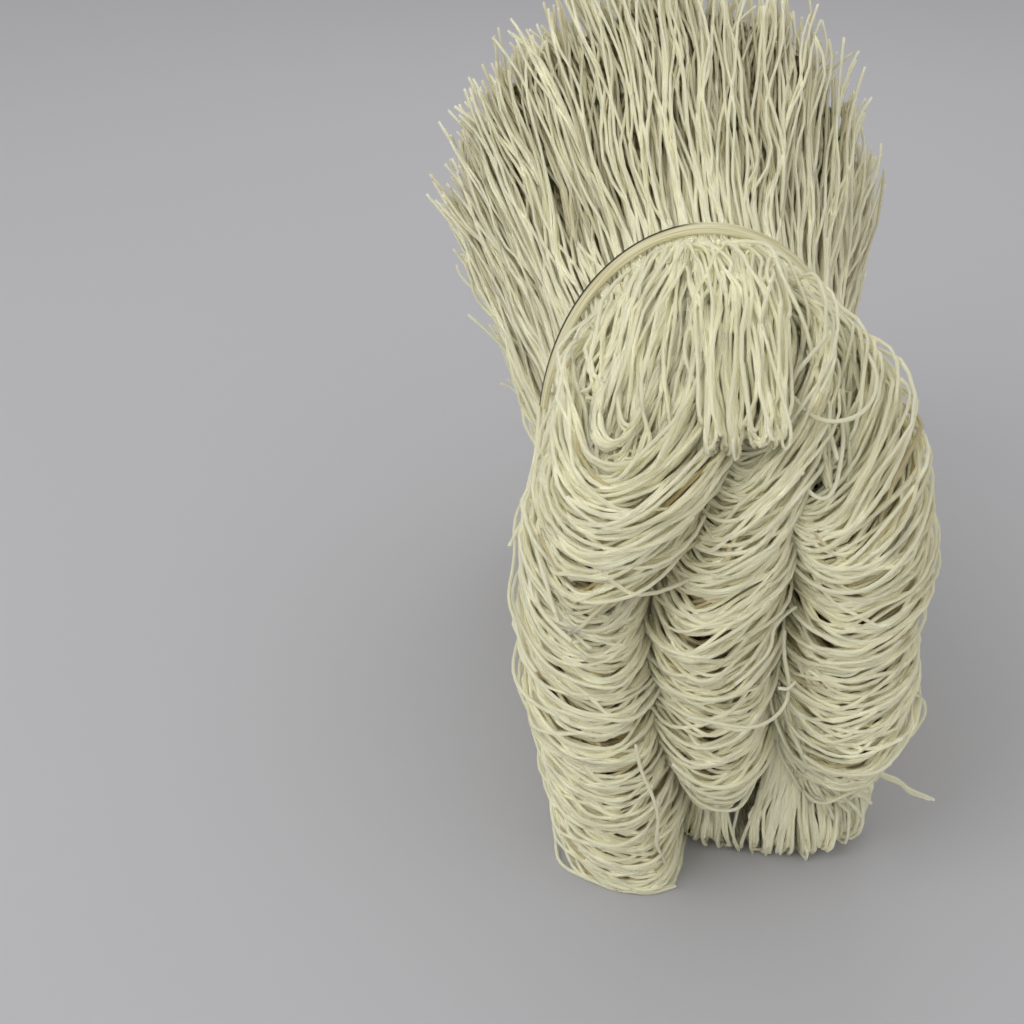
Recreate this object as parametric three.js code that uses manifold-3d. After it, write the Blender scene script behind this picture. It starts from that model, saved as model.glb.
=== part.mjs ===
// A sheaf of dried rice vermicelli. Long noodles are folded in half, so that their bends stack up
// into hanks side by side, and a strip of split bamboo ties them at the neck. Behind the tie the cut
// ends fan out. The sheaf lies on its side: the bends face -Y, the cut ends point to +Y and +Z is up.
// The origin is at the middle of its underside. All sizes are in millimetres.
//
// The noodles are one fused piece: a core with the form of the sheaf, and on it single noodles at
// their true thickness. The bamboo tie is a second piece.
import * as THREE from "three";
import { mergeVertices } from "three/addons/utils/BufferGeometryUtils.js";
import Module from "manifold-3d";

// Driving dimensions. The tail is egg-shaped: it reaches further below its middle than above, and
// below it grows narrower and leans to the right.
const floor = 0;
const noodle = { thickness: 1.1, sides: 4 };
const neck = { x: 0.5, y: -22, z: 95, halfWidth: 43, above: 59.5, below: 59.5, halfLength: 5 };
const block = { x: 1, y: -78, z: 75, halfWidth: 44, above: 63, below: 63, squareness: 3, front: 6 };
const tail = { x: -1.2, y: 103, z: 124, halfWidth: 74, above: 80, below: 128, narrowing: 0.26, lean: 26 };
const tailEnd = { dome: 11, ragged: 4, softStart: 0.18 };
const tie = { width: 3.4, thickness: 1.1, gap: 0.4, crown: 0.7, segments: 48 };
const knot = { turn: -0.5, length: 15, twists: 1.5, halfWidth: 1.3, halfThickness: 0.8 };
const knotEnd = { lift: 1.2, flick: 2.5 };
const skirt = { x: 17, y: -74, halfWidth: 28.5, depth: 21, bottom: -6, top: 52 };
const bendDepth = 21;
const ridge = { fan: 2.4, hank: 1.5, hankPitch: 9, skirt: 1.8, uneven: 0.6, clearOfTie: 20 };
const roundedShare = 0.3;
const finish = { noodles: { color: 0xd3cfae, roughness: 0.5 }, bamboo: { color: 0xc9bd8c, roughness: 0.55 } };
const seed = 41;

// How finely the skins and the noodles are cut into flat faces.
const facets = {
  body: { around: 44, end: 4, fan: 8, block: 5 },
  hank: 14,
  skirt: { around: 24, lines: 8 },
  knot: { sides: 6, steps: 16 },
  bend: 17,
  topBend: 24,
  tip: 7,
  fanNoodle: 12,
};

// The hanks of bends: the left one, the roll that hangs over it, the middle and the right one. Each
// station gives the middle of a bend at a height, how far forward it reaches, half its width, and
// how far its front droops below its sides. The count is of single noodles laid on the hank.
const hanks = [
  {
    count: 5,
    stations: [
      { z: -12, x: -20, front: -101, halfWidth: 14, droop: 8 },
      { z: 22, x: -23, front: -107, halfWidth: 17, droop: 8 },
      { z: 62, x: -31, front: -108, halfWidth: 17, droop: 6 },
      { z: 106, x: -33, front: -103, halfWidth: 15, droop: 8 },
    ],
  },
  {
    count: 5,
    stations: [
      { z: 97, x: -26, front: -105, halfWidth: 14, droop: 4 },
      { z: 112, x: -22, front: -112, halfWidth: 20, droop: 6 },
      { z: 129, x: -19, front: -108, halfWidth: 22, droop: 12 },
      { z: 144, x: -15, front: -90, halfWidth: 21, droop: 18 },
    ],
  },
  {
    count: 5,
    stations: [
      { z: 32, x: 4, front: -99, halfWidth: 11, droop: 9 },
      { z: 64, x: -2, front: -108, halfWidth: 17, droop: 7 },
      { z: 104, x: 2, front: -108, halfWidth: 17, droop: 9 },
      { z: 145, x: 9, front: -90, halfWidth: 15, droop: 18 },
    ],
  },
  {
    count: 5,
    stations: [
      { z: 30, x: 35, front: -96, halfWidth: 16, droop: 9 },
      { z: 64, x: 34, front: -104, halfWidth: 18.5, droop: 7 },
      { z: 104, x: 33, front: -103, halfWidth: 17.5, droop: 8 },
      { z: 138, x: 25, front: -84, halfWidth: 14, droop: 18 },
    ],
  },
];

// Long bends that run forward from the tie over the top and hang down a hank's front. The middle is
// in half turns round the hank, and the tip is how far up the hank the bend hangs.
const topBends = [
  { hank: 1, middle: 0.4, tip: 0.72 },
  { hank: 2, middle: 0.5, tip: 0.8 },
  { hank: 3, middle: 0.42, tip: 0.74 },
];

// How single noodles lie on the core: shares of a hank's height or of a half turn, and millimetres.
const bendLay = { lowest: 0.7, above: 0.3, aslant: 0.03, shifted: 0.15, proud: 0.2 };
const bendLegs = { back: 18, inward: 0.75 };
const topLay = { crest: 0.97, halfSpan: 0.13, tipSpan: 0.7, spread: 0.04, proud: 0.3, sunk: -1 };
const topSideLimit = 0.9;
const tipLay = { count: 18, inside: 25, under: 8, outside: 9, uneven: 2.5, swerve: 0.05, drawnIn: 0.96 };
const fanLay = { count: 10, first: 16, last: -4, swerve: 0.03, proud: 0.3, sunk: -2, points: 6 };

const wasm = await Module();
wasm.setup();

// A seeded draw, the same on every run: mulberry32, from -range to range.
let drawState = seed;
function draw(range) {
  drawState = (drawState + 0x6d2b79f5) | 0;
  let t = Math.imul(drawState ^ (drawState >>> 15), 1 | drawState);
  t = (t + Math.imul(t ^ (t >>> 7), 61 | t)) ^ t;
  return (((t ^ (t >>> 14)) >>> 0) / 2147483648 - 1) * range;
}

function list(length, make) {
  return Array.from({ length }, (_, i) => make(i));
}

function solidOf(geometry) {
  const bare = new THREE.BufferGeometry();
  bare.setAttribute("position", geometry.attributes.position);
  bare.setIndex(geometry.index);
  const merged = mergeVertices(bare, 1e-4);
  return new wasm.Manifold(
    new wasm.Mesh({
      numProp: 3,
      vertProperties: merged.attributes.position.array,
      triVerts: new Uint32Array(merged.index.array),
    }),
  );
}

function geometryOf(solid) {
  const mesh = solid.getMesh();
  const geometry = new THREE.BufferGeometry();
  geometry.setAttribute("position", new THREE.BufferAttribute(mesh.vertProperties, 3));
  geometry.setIndex(new THREE.BufferAttribute(mesh.triVerts, 1));
  geometry.computeVertexNormals();
  return geometry;
}

// Joins solids two by two, and keeps only the largest skin: loose scraps and sealed hollows go.
function fuse(solids) {
  let row = solids;
  while (row.length > 1) {
    row = row.flatMap((s, i) => (i % 2 ? [] : [i + 1 < row.length ? s.add(row[i + 1]) : s]));
  }
  return row[0].decompose().reduce((most, s) => (s.volume() > most.volume() ? s : most));
}

// A closed skin: a sphere's vertices, each put where place(turn, line, column) says. The turn goes
// round the skin's own axis, and the lines go from its first pole, 0, to its last.
function skin(around, lines, place) {
  const geometry = new THREE.SphereGeometry(1, around, lines);
  const position = geometry.attributes.position;
  for (let i = 0; i < position.count; i++) {
    const column = (i % (around + 1)) % around;
    const line = Math.floor(i / (around + 1));
    const point = place((column / around) * Math.PI * 2, line, column);
    position.setXYZ(i, point.x, point.y, point.z);
  }
  return solidOf(geometry);
}

// One where a skin is at its full width, falling to 0 at both poles like a quarter circle.
function roundedEnds(share, stretch) {
  const past = Math.max(0, Math.abs(2 * share - 1) - (1 - stretch)) / stretch;
  return Math.sqrt(Math.max(0, 1 - past * past));
}

// The sheaf's cross-section at a distance y along it: a block in front, a straight oval neck, and a
// widening egg behind, which opens slowly and then evenly, like one arm of a hyperbola.
function sectionAt(y) {
  const neckFront = neck.y - neck.halfLength;
  const neckBack = neck.y + neck.halfLength;
  const ahead = THREE.MathUtils.smoothstep(neckFront - y, 0, neckFront - block.y);
  const behind = Math.max(0, (y - neckBack) / (tail.y - neckBack));
  const k = tailEnd.softStart;
  const flare = (Math.hypot(behind, k) - k) / (Math.hypot(1, k) - k);
  const mix = (name) =>
    neck[name] + (block[name] - neck[name]) * ahead + (tail[name] - neck[name]) * flare;
  return {
    x: mix("x"),
    z: mix("z"),
    halfWidth: mix("halfWidth"),
    above: mix("above"),
    below: mix("below"),
    squareness: 2 + (block.squareness - 2) * ahead,
    flare,
  };
}

// A point of the sheaf: on a superellipse, at a share of its full size and then a little proud. In
// the tail, what lies low is drawn in and leans to the right.
function bodyPoint(y, turn, size, proud = 0) {
  const s = sectionAt(y);
  const across = -Math.cos(turn);
  const up = Math.sin(turn);
  const reach = Math.pow(
    Math.pow(Math.abs(across / s.halfWidth), s.squareness) +
      Math.pow(Math.abs(up / (up > 0 ? s.above : s.below)), s.squareness),
    -1 / s.squareness,
  );
  const out = reach * size + proud;
  const low = THREE.MathUtils.clamp((-up * out) / s.below, 0, 1);
  const drawnIn = 1 - tail.narrowing * s.flare * low;
  const lean = tail.lean * s.flare * low * (1 - low);
  return new THREE.Vector3(s.x + across * out * drawnIn + lean, y, s.z + up * out);
}

// The core of the fan, the neck and the block. Its side is ridged lengthwise, as the noodles lie,
// and smooth under the tie. Its back is a ragged dome of cut ends.
function makeBody() {
  const { around, end, fan, block: blockSteps } = facets.body;
  const rim = tail.y - tailEnd.dome;
  const backLines = list(end, (i) => ({ y: tail.y - tailEnd.dome * (i / end) ** 2, size: i / end }));
  const between = (from, to, steps) =>
    list(steps + 1, (i) => ({ y: THREE.MathUtils.lerp(from, to, i / steps), size: 1 }));
  const fanLines = between(rim, neck.y + neck.halfLength, fan);
  const blockLines = between(neck.y - neck.halfLength, block.y, blockSteps);
  const frontLines = [
    { y: block.y - block.front + 1, size: 0.85 },
    { y: block.y - block.front, size: 0 },
  ];
  const lines = [...backLines, ...fanLines, ...blockLines, ...frontLines];
  const ridges = list(around, (i) => (i % 2) * ridge.fan + draw(ridge.uneven));
  const raggedEnd = lines.map(() => list(around, () => draw(tailEnd.ragged)));
  return skin(around, lines.length - 1, (turn, line, column) => {
    const { y, size } = lines[line];
    const away = THREE.MathUtils.smoothstep(Math.abs(y - neck.y), neck.halfLength, ridge.clearOfTie);
    const point = bodyPoint(y, turn, size, size ? -ridges[column] * away : 0);
    const isBack = line > 0 && line <= backLines.length;
    point.y += isBack ? raggedEnd[line][column] : 0;
    return point;
  });
}

// The middle line of a hank and its sizes, smooth between its stations.
function prepareHank({ count, stations }) {
  const line = new THREE.CatmullRomCurve3(stations.map((s) => new THREE.Vector3(s.x, s.front, s.z)));
  const sizes = new THREE.SplineCurve(stations.map((s) => new THREE.Vector2(s.halfWidth, s.droop)));
  return { count, line, sizes };
}

// A point of a hank's skin: an ellipse about its middle line whose front droops. Turn 0 is the left
// side, and a quarter turn is the front.
function hankPoint(hank, share, turn, proud) {
  const middle = hank.line.getPoint(THREE.MathUtils.clamp(share, 0, 1));
  const size = hank.sizes.getPoint(THREE.MathUtils.clamp(share, 0, 1));
  return new THREE.Vector3(
    middle.x - Math.cos(turn) * (size.x + proud),
    middle.y + bendDepth - Math.sin(turn) * (bendDepth + proud),
    middle.z - Math.max(0, Math.sin(turn)) * size.y,
  );
}

// A hank's core, scalloped up its height, because its bends lie one on another.
function makeHank(hank) {
  const crown = 2;
  const lines = 2 * Math.round(hank.line.getLength() / ridge.hankPitch) + 2;
  const depths = list(lines + 1, (i) => (i % 2) * ridge.hank + draw(ridge.uneven));
  return skin(facets.hank, lines, (turn, line) => {
    const share = 1 - line / lines;
    const middle = hank.line.getPoint(share);
    middle.y += bendDepth;
    middle.z += share > 0.5 ? crown : 0;
    const point = hankPoint(hank, share, turn, -depths[line]);
    return point.lerp(middle, 1 - roundedEnds(share, roundedShare));
  });
}

// The noodles under the middle and right hanks, which run down to the floor.
function makeSkirt() {
  const { around, lines } = facets.skirt;
  return skin(around, lines, (turn, line, column) => {
    const share = line / lines;
    const size = roundedEnds(share, roundedShare);
    const grooved = size * (1 - ((column % 2) * ridge.skirt) / skirt.depth);
    return new THREE.Vector3(
      skirt.x - Math.cos(turn) * skirt.halfWidth * grooved,
      skirt.y - Math.sin(turn) * skirt.depth * grooved,
      THREE.MathUtils.lerp(skirt.top, skirt.bottom, share),
    );
  });
}

// A rod with few sides along a smooth line through its points.
function makeRod(points, sides, halfWidth, halfThickness, steps) {
  const corners = list(sides, (i) => {
    const turn = ((i + 0.5) / sides) * Math.PI * 2;
    return new THREE.Vector2(Math.cos(turn) * halfWidth, Math.sin(turn) * halfThickness);
  });
  const extrudePath = new THREE.CatmullRomCurve3(points);
  const shape = new THREE.Shape(corners);
  return solidOf(new THREE.ExtrudeGeometry(shape, { steps, bevelEnabled: false, extrudePath }));
}

// One noodle, kept clear of the floor.
function makeNoodle(points, steps) {
  const lowest = floor + noodle.thickness;
  const raised = points.map((p) => new THREE.Vector3(p.x, p.y, Math.max(p.z, lowest)));
  return makeRod(raised, noodle.sides, noodle.thickness / 2, noodle.thickness / 2, steps);
}

// Single bends on a hank, spread evenly up it, each a little aslant, with its legs run into the core.
function makeBends(hank) {
  const halfTurns = [-0.16, 0.1, 0.3, 0.5, 0.7, 0.9, 1.16];
  return list(hank.count, (i) => {
    const share = (i + bendLay.lowest + draw(bendLay.shifted)) / (hank.count + bendLay.above);
    const slant = draw(bendLay.aslant);
    const points = halfTurns.map((turn, k) => {
      const at = share + slant * (k / 3 - 1);
      return hankPoint(hank, at, turn * Math.PI, noodle.thickness * bendLay.proud);
    });
    const leg = (p) => {
      const x = THREE.MathUtils.lerp(neck.x, p.x, bendLegs.inward);
      return new THREE.Vector3(x, p.y + bendLegs.back, p.z);
    };
    return makeNoodle([leg(points[0]), ...points, leg(points[points.length - 1])], facets.bend);
  });
}

// A bend over the top: legs on the body behind, then down the hank's front to its tip.
function makeTopBend({ hank, middle, tip }, ready) {
  const legs = [
    { y: -38, share: 0.4, proud: -2 },
    { y: -54, share: 0.7, proud: 0.5 },
  ];
  const { crest, halfSpan, tipSpan, spread, proud: onHank, sunk } = topLay;
  const half = (side) => {
    const at = (share, span, proud) =>
      hankPoint(ready[hank], share, (middle + side * span) * Math.PI, proud);
    const top = at(crest, halfSpan, sunk);
    const onBody = legs.map(({ y, share, proud }) => {
      const s = sectionAt(y);
      const x = THREE.MathUtils.lerp(neck.x, top.x, share);
      const turn = Math.acos(THREE.MathUtils.clamp((s.x - x) / s.halfWidth, -topSideLimit, topSideLimit));
      return bodyPoint(y, turn, 1, proud);
    });
    const lower = at((1 + tip) / 2, halfSpan, onHank);
    return [...onBody, top, lower, at(tip + spread, halfSpan * tipSpan, onHank)];
  };
  const lowest = hankPoint(ready[hank], tip, middle * Math.PI, onHank);
  return makeNoodle([...half(-1), lowest, ...half(1).reverse()], facets.topBend);
}

// Cut ends that stick out of the fan, spread evenly over its back by the golden angle.
function makeTips() {
  const goldenTurn = Math.PI * (3 - Math.sqrt(5));
  const { count, inside, under, outside, uneven, drawnIn } = tipLay;
  return list(count, (i) => {
    const size = Math.sqrt((i + 0.5) / count);
    const turn = i * goldenTurn;
    const start = tail.y - tailEnd.dome * size * size;
    const end = start + outside + draw(uneven);
    const swerved = turn + draw(tipLay.swerve);
    return makeNoodle(
      [
        bodyPoint(start - inside, turn, size * drawnIn),
        bodyPoint(start - under, turn, (size * (1 + drawnIn)) / 2),
        bodyPoint(start + outside / 3, swerved, size),
        bodyPoint(end, turn, size),
      ],
      facets.tip,
    );
  });
}

// Noodles that lie along the side of the fan, from behind the tie to their cut ends.
function makeFanNoodles() {
  const first = neck.y + fanLay.first;
  const last = tail.y + fanLay.last;
  return list(fanLay.count, (i) => {
    const turn = ((i + 0.5) / fanLay.count) * Math.PI * 2;
    const points = list(fanLay.points, (k) => {
      const y = THREE.MathUtils.lerp(first, last, k / (fanLay.points - 1));
      const proud = k ? noodle.thickness * fanLay.proud : fanLay.sunk;
      return bodyPoint(y, turn + draw(fanLay.swerve), 1, proud);
    });
    return makeNoodle(points, facets.fanNoodle);
  });
}

// The bamboo strip round the neck: a slightly crowned band, and its two ends twisted round each
// other low on the right.
function makeTie() {
  const inner = neck.halfWidth + tie.gap;
  const outer = inner + tie.thickness;
  const edge = inner + tie.thickness * tie.crown;
  const stretch = (neck.above + tie.gap) / inner;
  const half = tie.width / 2;
  const profile = [
    new THREE.Vector2(inner, -half),
    new THREE.Vector2(edge, -half),
    new THREE.Vector2(outer, 0),
    new THREE.Vector2(edge, half),
    new THREE.Vector2(inner, half),
    new THREE.Vector2(inner, -half),
  ];
  const band = new THREE.LatheGeometry(profile, tie.segments);
  band.scale(1, 1, stretch);
  band.translate(neck.x, neck.y, neck.z);

  const sine = Math.sin(knot.turn);
  const cosine = Math.cos(knot.turn);
  const middle = new THREE.Vector3(neck.x + cosine * outer, neck.y, neck.z + sine * outer * stretch);
  const alongBand = new THREE.Vector3(-sine, 0, cosine * stretch).normalize();
  const outward = new THREE.Vector3(alongBand.z, 0, -alongBand.x);
  const sideways = new THREE.Vector3(0, 1, 0);
  const end = (phase) => {
    const last = 10;
    const points = list(last + 1, (i) => {
      const turn = phase + (i / last) * knot.twists * Math.PI * 2;
      const lift = knotEnd.lift + (i === last ? knotEnd.flick : 0);
      return middle
        .clone()
        .addScaledVector(alongBand, (i / last - 0.5) * knot.length)
        .addScaledVector(outward, lift + Math.cos(turn) * knot.halfThickness)
        .addScaledVector(sideways, Math.sin(turn) * knot.halfWidth);
    });
    return makeRod(points, facets.knot.sides, knot.halfWidth, knot.halfThickness, facets.knot.steps);
  };
  return fuse([solidOf(band), end(0), end(Math.PI)]);
}

function makeNoodles() {
  const ready = hanks.map(prepareHank);
  const core = fuse([makeBody(), makeSkirt(), ...ready.map(makeHank)]);
  const loose = [
    ...ready.flatMap(makeBends),
    ...topBends.map((bend) => makeTopBend(bend, ready)),
    ...makeTips(),
    ...makeFanNoodles(),
  ];
  const side = 400;
  const below = new THREE.BoxGeometry(side, side, side).translate(0, 0, floor - side / 2);
  return fuse([fuse([core, ...loose]).subtract(solidOf(below))]);
}

function part(name, solid, { color, roughness }) {
  const material = new THREE.MeshStandardMaterial({ color, roughness, metalness: 0 });
  const mesh = new THREE.Mesh(geometryOf(solid), material);
  mesh.name = name;
  return mesh;
}

const sheaf = new THREE.Group();
sheaf.add(part("noodle_bundle", makeNoodles(), finish.noodles));
sheaf.add(part("bamboo_tie", makeTie(), finish.bamboo));
export default sheaf;
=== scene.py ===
import math

import bpy
import numpy as np
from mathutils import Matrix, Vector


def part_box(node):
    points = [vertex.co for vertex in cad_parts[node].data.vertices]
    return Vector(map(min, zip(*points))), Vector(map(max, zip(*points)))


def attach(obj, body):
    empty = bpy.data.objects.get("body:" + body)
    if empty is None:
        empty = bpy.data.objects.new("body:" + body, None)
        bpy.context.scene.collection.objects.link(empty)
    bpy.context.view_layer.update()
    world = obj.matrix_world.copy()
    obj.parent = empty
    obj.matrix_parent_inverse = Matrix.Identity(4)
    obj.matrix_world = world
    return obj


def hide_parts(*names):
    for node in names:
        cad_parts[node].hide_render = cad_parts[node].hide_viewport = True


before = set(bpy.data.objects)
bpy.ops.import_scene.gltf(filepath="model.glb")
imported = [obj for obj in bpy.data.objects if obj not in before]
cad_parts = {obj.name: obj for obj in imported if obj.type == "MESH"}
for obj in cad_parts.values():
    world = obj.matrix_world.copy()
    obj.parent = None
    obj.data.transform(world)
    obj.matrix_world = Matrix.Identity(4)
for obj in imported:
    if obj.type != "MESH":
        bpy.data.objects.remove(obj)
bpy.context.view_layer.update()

# A tied sheaf of dried rice vermicelli. The CAD gives its box, its neck and its tie, and every
# noodle here is a thin tube of its true thickness. Shapes are worked out in millimetres and put
# into the meshes in metres. The bends face -Y, the cut ends point to +Y and the floor is z = 0.
mm = 0.001

bundleLow, bundleHigh = (np.array(corner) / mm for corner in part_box("noodle_bundle"))
tieLow, tieHigh = (np.array(corner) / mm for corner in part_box("bamboo_tie"))
frontPlane, backPlane = bundleLow[1], bundleHigh[1]

# One noodle: how its radius varies from one to the next and along it, how far its middle stays off
# the floor, and how far its cut end is paler.
noodle = {
    "radius": 0.50, "sides": 5, "unevenness": 0.09, "unevenAlong": 0.045, "offFloor": 0.65,
    "cutFade": 1.2, "lengthStart": 400.0,
}

# How the sheaf has settled: how far apart, and by what share of that, things have moved, and the
# distances from the tie's middle at which noodles begin to be free and are free.
settled = {"seed": 5, "apart": 34.0, "amount": 0.04, "waves": 8, "free": (4, 30)}

# The oval that the tie goes round, the block of bends in front of it, and the egg-shaped fan
# behind, which is drawn in below and leans to the right there.
tieOval = {"halfWidth": 44.5, "halfHeight": (tieHigh[2] - tieLow[2]) / 2}
neck = {
    "x": tieLow[0] + tieOval["halfWidth"], "y": (tieLow[1] + tieHigh[1]) / 2,
    "z": (tieHigh[2] + tieLow[2]) / 2, "halfWidth": 42.4, "halfLength": 5.0,
    "above": tieOval["halfHeight"] - 2.4, "below": tieOval["halfHeight"] - 2.4,
}
block = {"x": 1.0, "z": 73.0, "halfWidth": 51.0, "halfHeight": 73.0}
fan = {
    "x": -1.2, "y": backPlane - 9.5, "z": 124.0, "below": 126.0,
    "halfWidth": (bundleHigh[0] - bundleLow[0]) / 2 + 1.5,
    "softStart": 0.18, "narrowing": 0.26, "lean": 26.0,
}
fan["above"] = bundleHigh[2] - fan["z"]


# A smooth line through equally spaced rows of numbers (Catmull-Rom), read at shares from 0 to 1.
def glide(rows, share):
    rows = np.asarray(rows, float)
    padded = np.vstack([2 * rows[0] - rows[1], rows, 2 * rows[-1] - rows[-2]])
    spot = np.clip(share, 0, 1) * (len(rows) - 1)
    first = np.minimum(spot.astype(int), len(rows) - 2)
    u = (spot - first)[..., None]
    a, b, c, d = (padded[first + k] for k in range(4))
    curved = (2 * a - 5 * b + 4 * c - d) * u**2 + (3 * b - a - 3 * c + d) * u**3
    return 0.5 * (2 * b + (c - a) * u + curved)


# Weights of a cubic B-spline at spots from 0 to controls + 1: each blends its four nearest control
# points, and the end points count three times, so that the curve starts and ends on them.
def splineWeights(controls, spots):
    first = np.minimum(spots.astype(int), controls)
    u = spots - first
    blends = [(1 - u) ** 3, 3 * u**3 - 6 * u**2 + 4, -3 * u**3 + 3 * u**2 + 3 * u + 1, u**3]
    wide = np.zeros((len(spots), controls + 4))
    wide[np.arange(len(spots))[:, None], first[:, None] + np.arange(4)] = np.stack(blends, 1) / 6
    weights = wide[:, 2:-2].copy()
    weights[:, 0] += wide[:, :2].sum(1)
    weights[:, -1] += wide[:, -2:].sum(1)
    return weights


# Many such curves at once, read at the same spots: [strand, control, 3] to [strand, spot, 3].
def readCurves(controls, spots):
    return np.einsum("nk,skc->snc", splineWeights(controls.shape[1], spots), controls)


# Curves read at even spots from end to end.
def smoothPaths(controls, samples):
    return readCurves(controls, np.linspace(0, controls.shape[1] + 1, samples))


# Bends with their legs, with most of the samples round the bend.
def bendPaths(controls, samples):
    count = controls.shape[1]
    legCount = (count - len(bendTurns)) // 2
    first, last = legCount + 0.4, count + 0.6 - legCount
    straight = np.linspace(0, first, legCount + 1, endpoint=False)
    bend = np.linspace(first, last, samples)
    return readCurves(controls, np.concatenate([straight, bend, count + 1 - straight[::-1]]))


# The distance covered along each path, from 0 at its start: the sum of its steps.
def distances(paths):
    steps = np.linalg.norm(np.diff(paths, axis=-2), axis=-1)
    return np.concatenate([0 * steps[..., :1], np.cumsum(steps, axis=-1)], axis=-1)


# From 0 at low to 1 at high, as t t (3 - 2 t).
def smoothStep(value, low, high):
    t = np.clip((value - low) / (high - low), 0, 1)
    return t * t * (3 - 2 * t)


# Vectors over their own lengths.
def unit(vectors):
    return vectors / np.maximum(np.linalg.norm(vectors, axis=-1, keepdims=True), 1e-9)


# A smooth random field: a sum of sine waves along random directions.
def swirl(points, wavelength, rng):
    result = np.zeros(points.shape)
    for _ in range(settled["waves"]):
        direction = rng.normal(size=3)
        wave = wavelength * rng.uniform(0.7, 1.5) * np.linalg.norm(direction)
        push = rng.normal(size=3)
        phase = points @ (direction * 2 * math.pi / wave) + rng.uniform(0, 2 * math.pi)
        result += np.sin(phase)[..., None] * push
    return result / math.sqrt(settled["waves"])


# How free a noodle is to stray: not at all under the tie, and fully away from it.
def freedom(points):
    return smoothStep(np.abs(points[..., 1] - neck["y"]), *settled["free"])[..., None]


# Draws neighbours together into bunches about `apart` wide and leaves gaps between them. A small
# grain along an axis stretches the bunches along it.
def gather(points, apart, amount, grain=(1.0, 1.0, 1.0), seed=settled["seed"]):
    field = swirl(points * grain, apart, np.random.default_rng(seed))
    return points + freedom(points) * amount * apart * field


# The same for the whole sheaf, so that all its pieces move together.
def settle(points):
    return gather(points, settled["apart"], settled["amount"])


# Moves each control point alone, by a share of the distance to its neighbours along the noodle, so
# that the curve stays smooth.
def wobble(controls, rng, share):
    gaps = np.linalg.norm(np.diff(controls, axis=1), axis=2, keepdims=True)
    middle = (gaps[:, 1:] + gaps[:, :-1]) / 2
    spacing = np.concatenate([gaps[:, :1], middle, gaps[:, -1:]], axis=1)
    return controls + freedom(controls) * share * spacing * rng.normal(size=controls.shape)


# Lets each noodle sway from side to side on its way, in sine waves of its own.
def sway(controls, rng, amount, wavelength):
    count = (len(controls), 1)
    waves = distances(controls) * rng.uniform(0.7, 1.4, count) / wavelength
    waves = waves + rng.uniform(0, 1, count)
    swing = amount * rng.uniform(0.2, 1.5, count) * np.sin(2 * math.pi * waves)
    return controls + freedom(controls) * swing[..., None] * [1, 0, 0]


# A mesh object at the origin, from arrays of faces of one size each.
def makeMesh(name, points, faceSets, attributes):
    mesh = bpy.data.meshes.new(name)
    corners = np.concatenate([faces.ravel() for faces in faceSets])
    sizes = np.concatenate([np.full(len(faces), faces.shape[1]) for faces in faceSets])
    starts = np.concatenate([[0], np.cumsum(sizes)[:-1]])
    mesh.vertices.add(len(points))
    mesh.loops.add(len(corners))
    mesh.polygons.add(len(sizes))
    mesh.vertices.foreach_set("co", (points * mm).astype(np.float32).ravel())
    mesh.loops.foreach_set("vertex_index", corners.astype(np.int32))
    mesh.polygons.foreach_set("loop_start", starts.astype(np.int32))
    mesh.polygons.foreach_set("use_smooth", np.ones(len(sizes), bool))
    for label, values in attributes.items():
        layer = mesh.attributes.new(label, "FLOAT", "POINT")
        layer.data.foreach_set("value", values.astype(np.float32).ravel())
    mesh.update(calc_edges=True)
    mesh.validate()
    piece = bpy.data.objects.new(name, mesh)
    bpy.context.scene.collection.objects.link(piece)
    print(f"{name}: {int((sizes - 2).sum())} triangles")
    return piece


# Several sets of (points, face arrays, attributes) made into one piece. Faces are sorted by size.
def joinSets(name, sets):
    offset, points, faces, labels = 0, [], {}, {}
    for setPoints, faceArrays, attributes in sets:
        points.append(setPoints)
        for array in faceArrays:
            faces.setdefault(array.shape[1], []).append(array + offset)
        offset += len(setPoints)
        for label, values in attributes.items():
            labels.setdefault(label, []).append(np.ravel(values))
    faceSets = [np.concatenate(arrays) for arrays in faces.values()]
    joined = {label: np.concatenate(values) for label, values in labels.items()}
    return makeMesh(name, np.concatenate(points), faceSets, joined)


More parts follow.
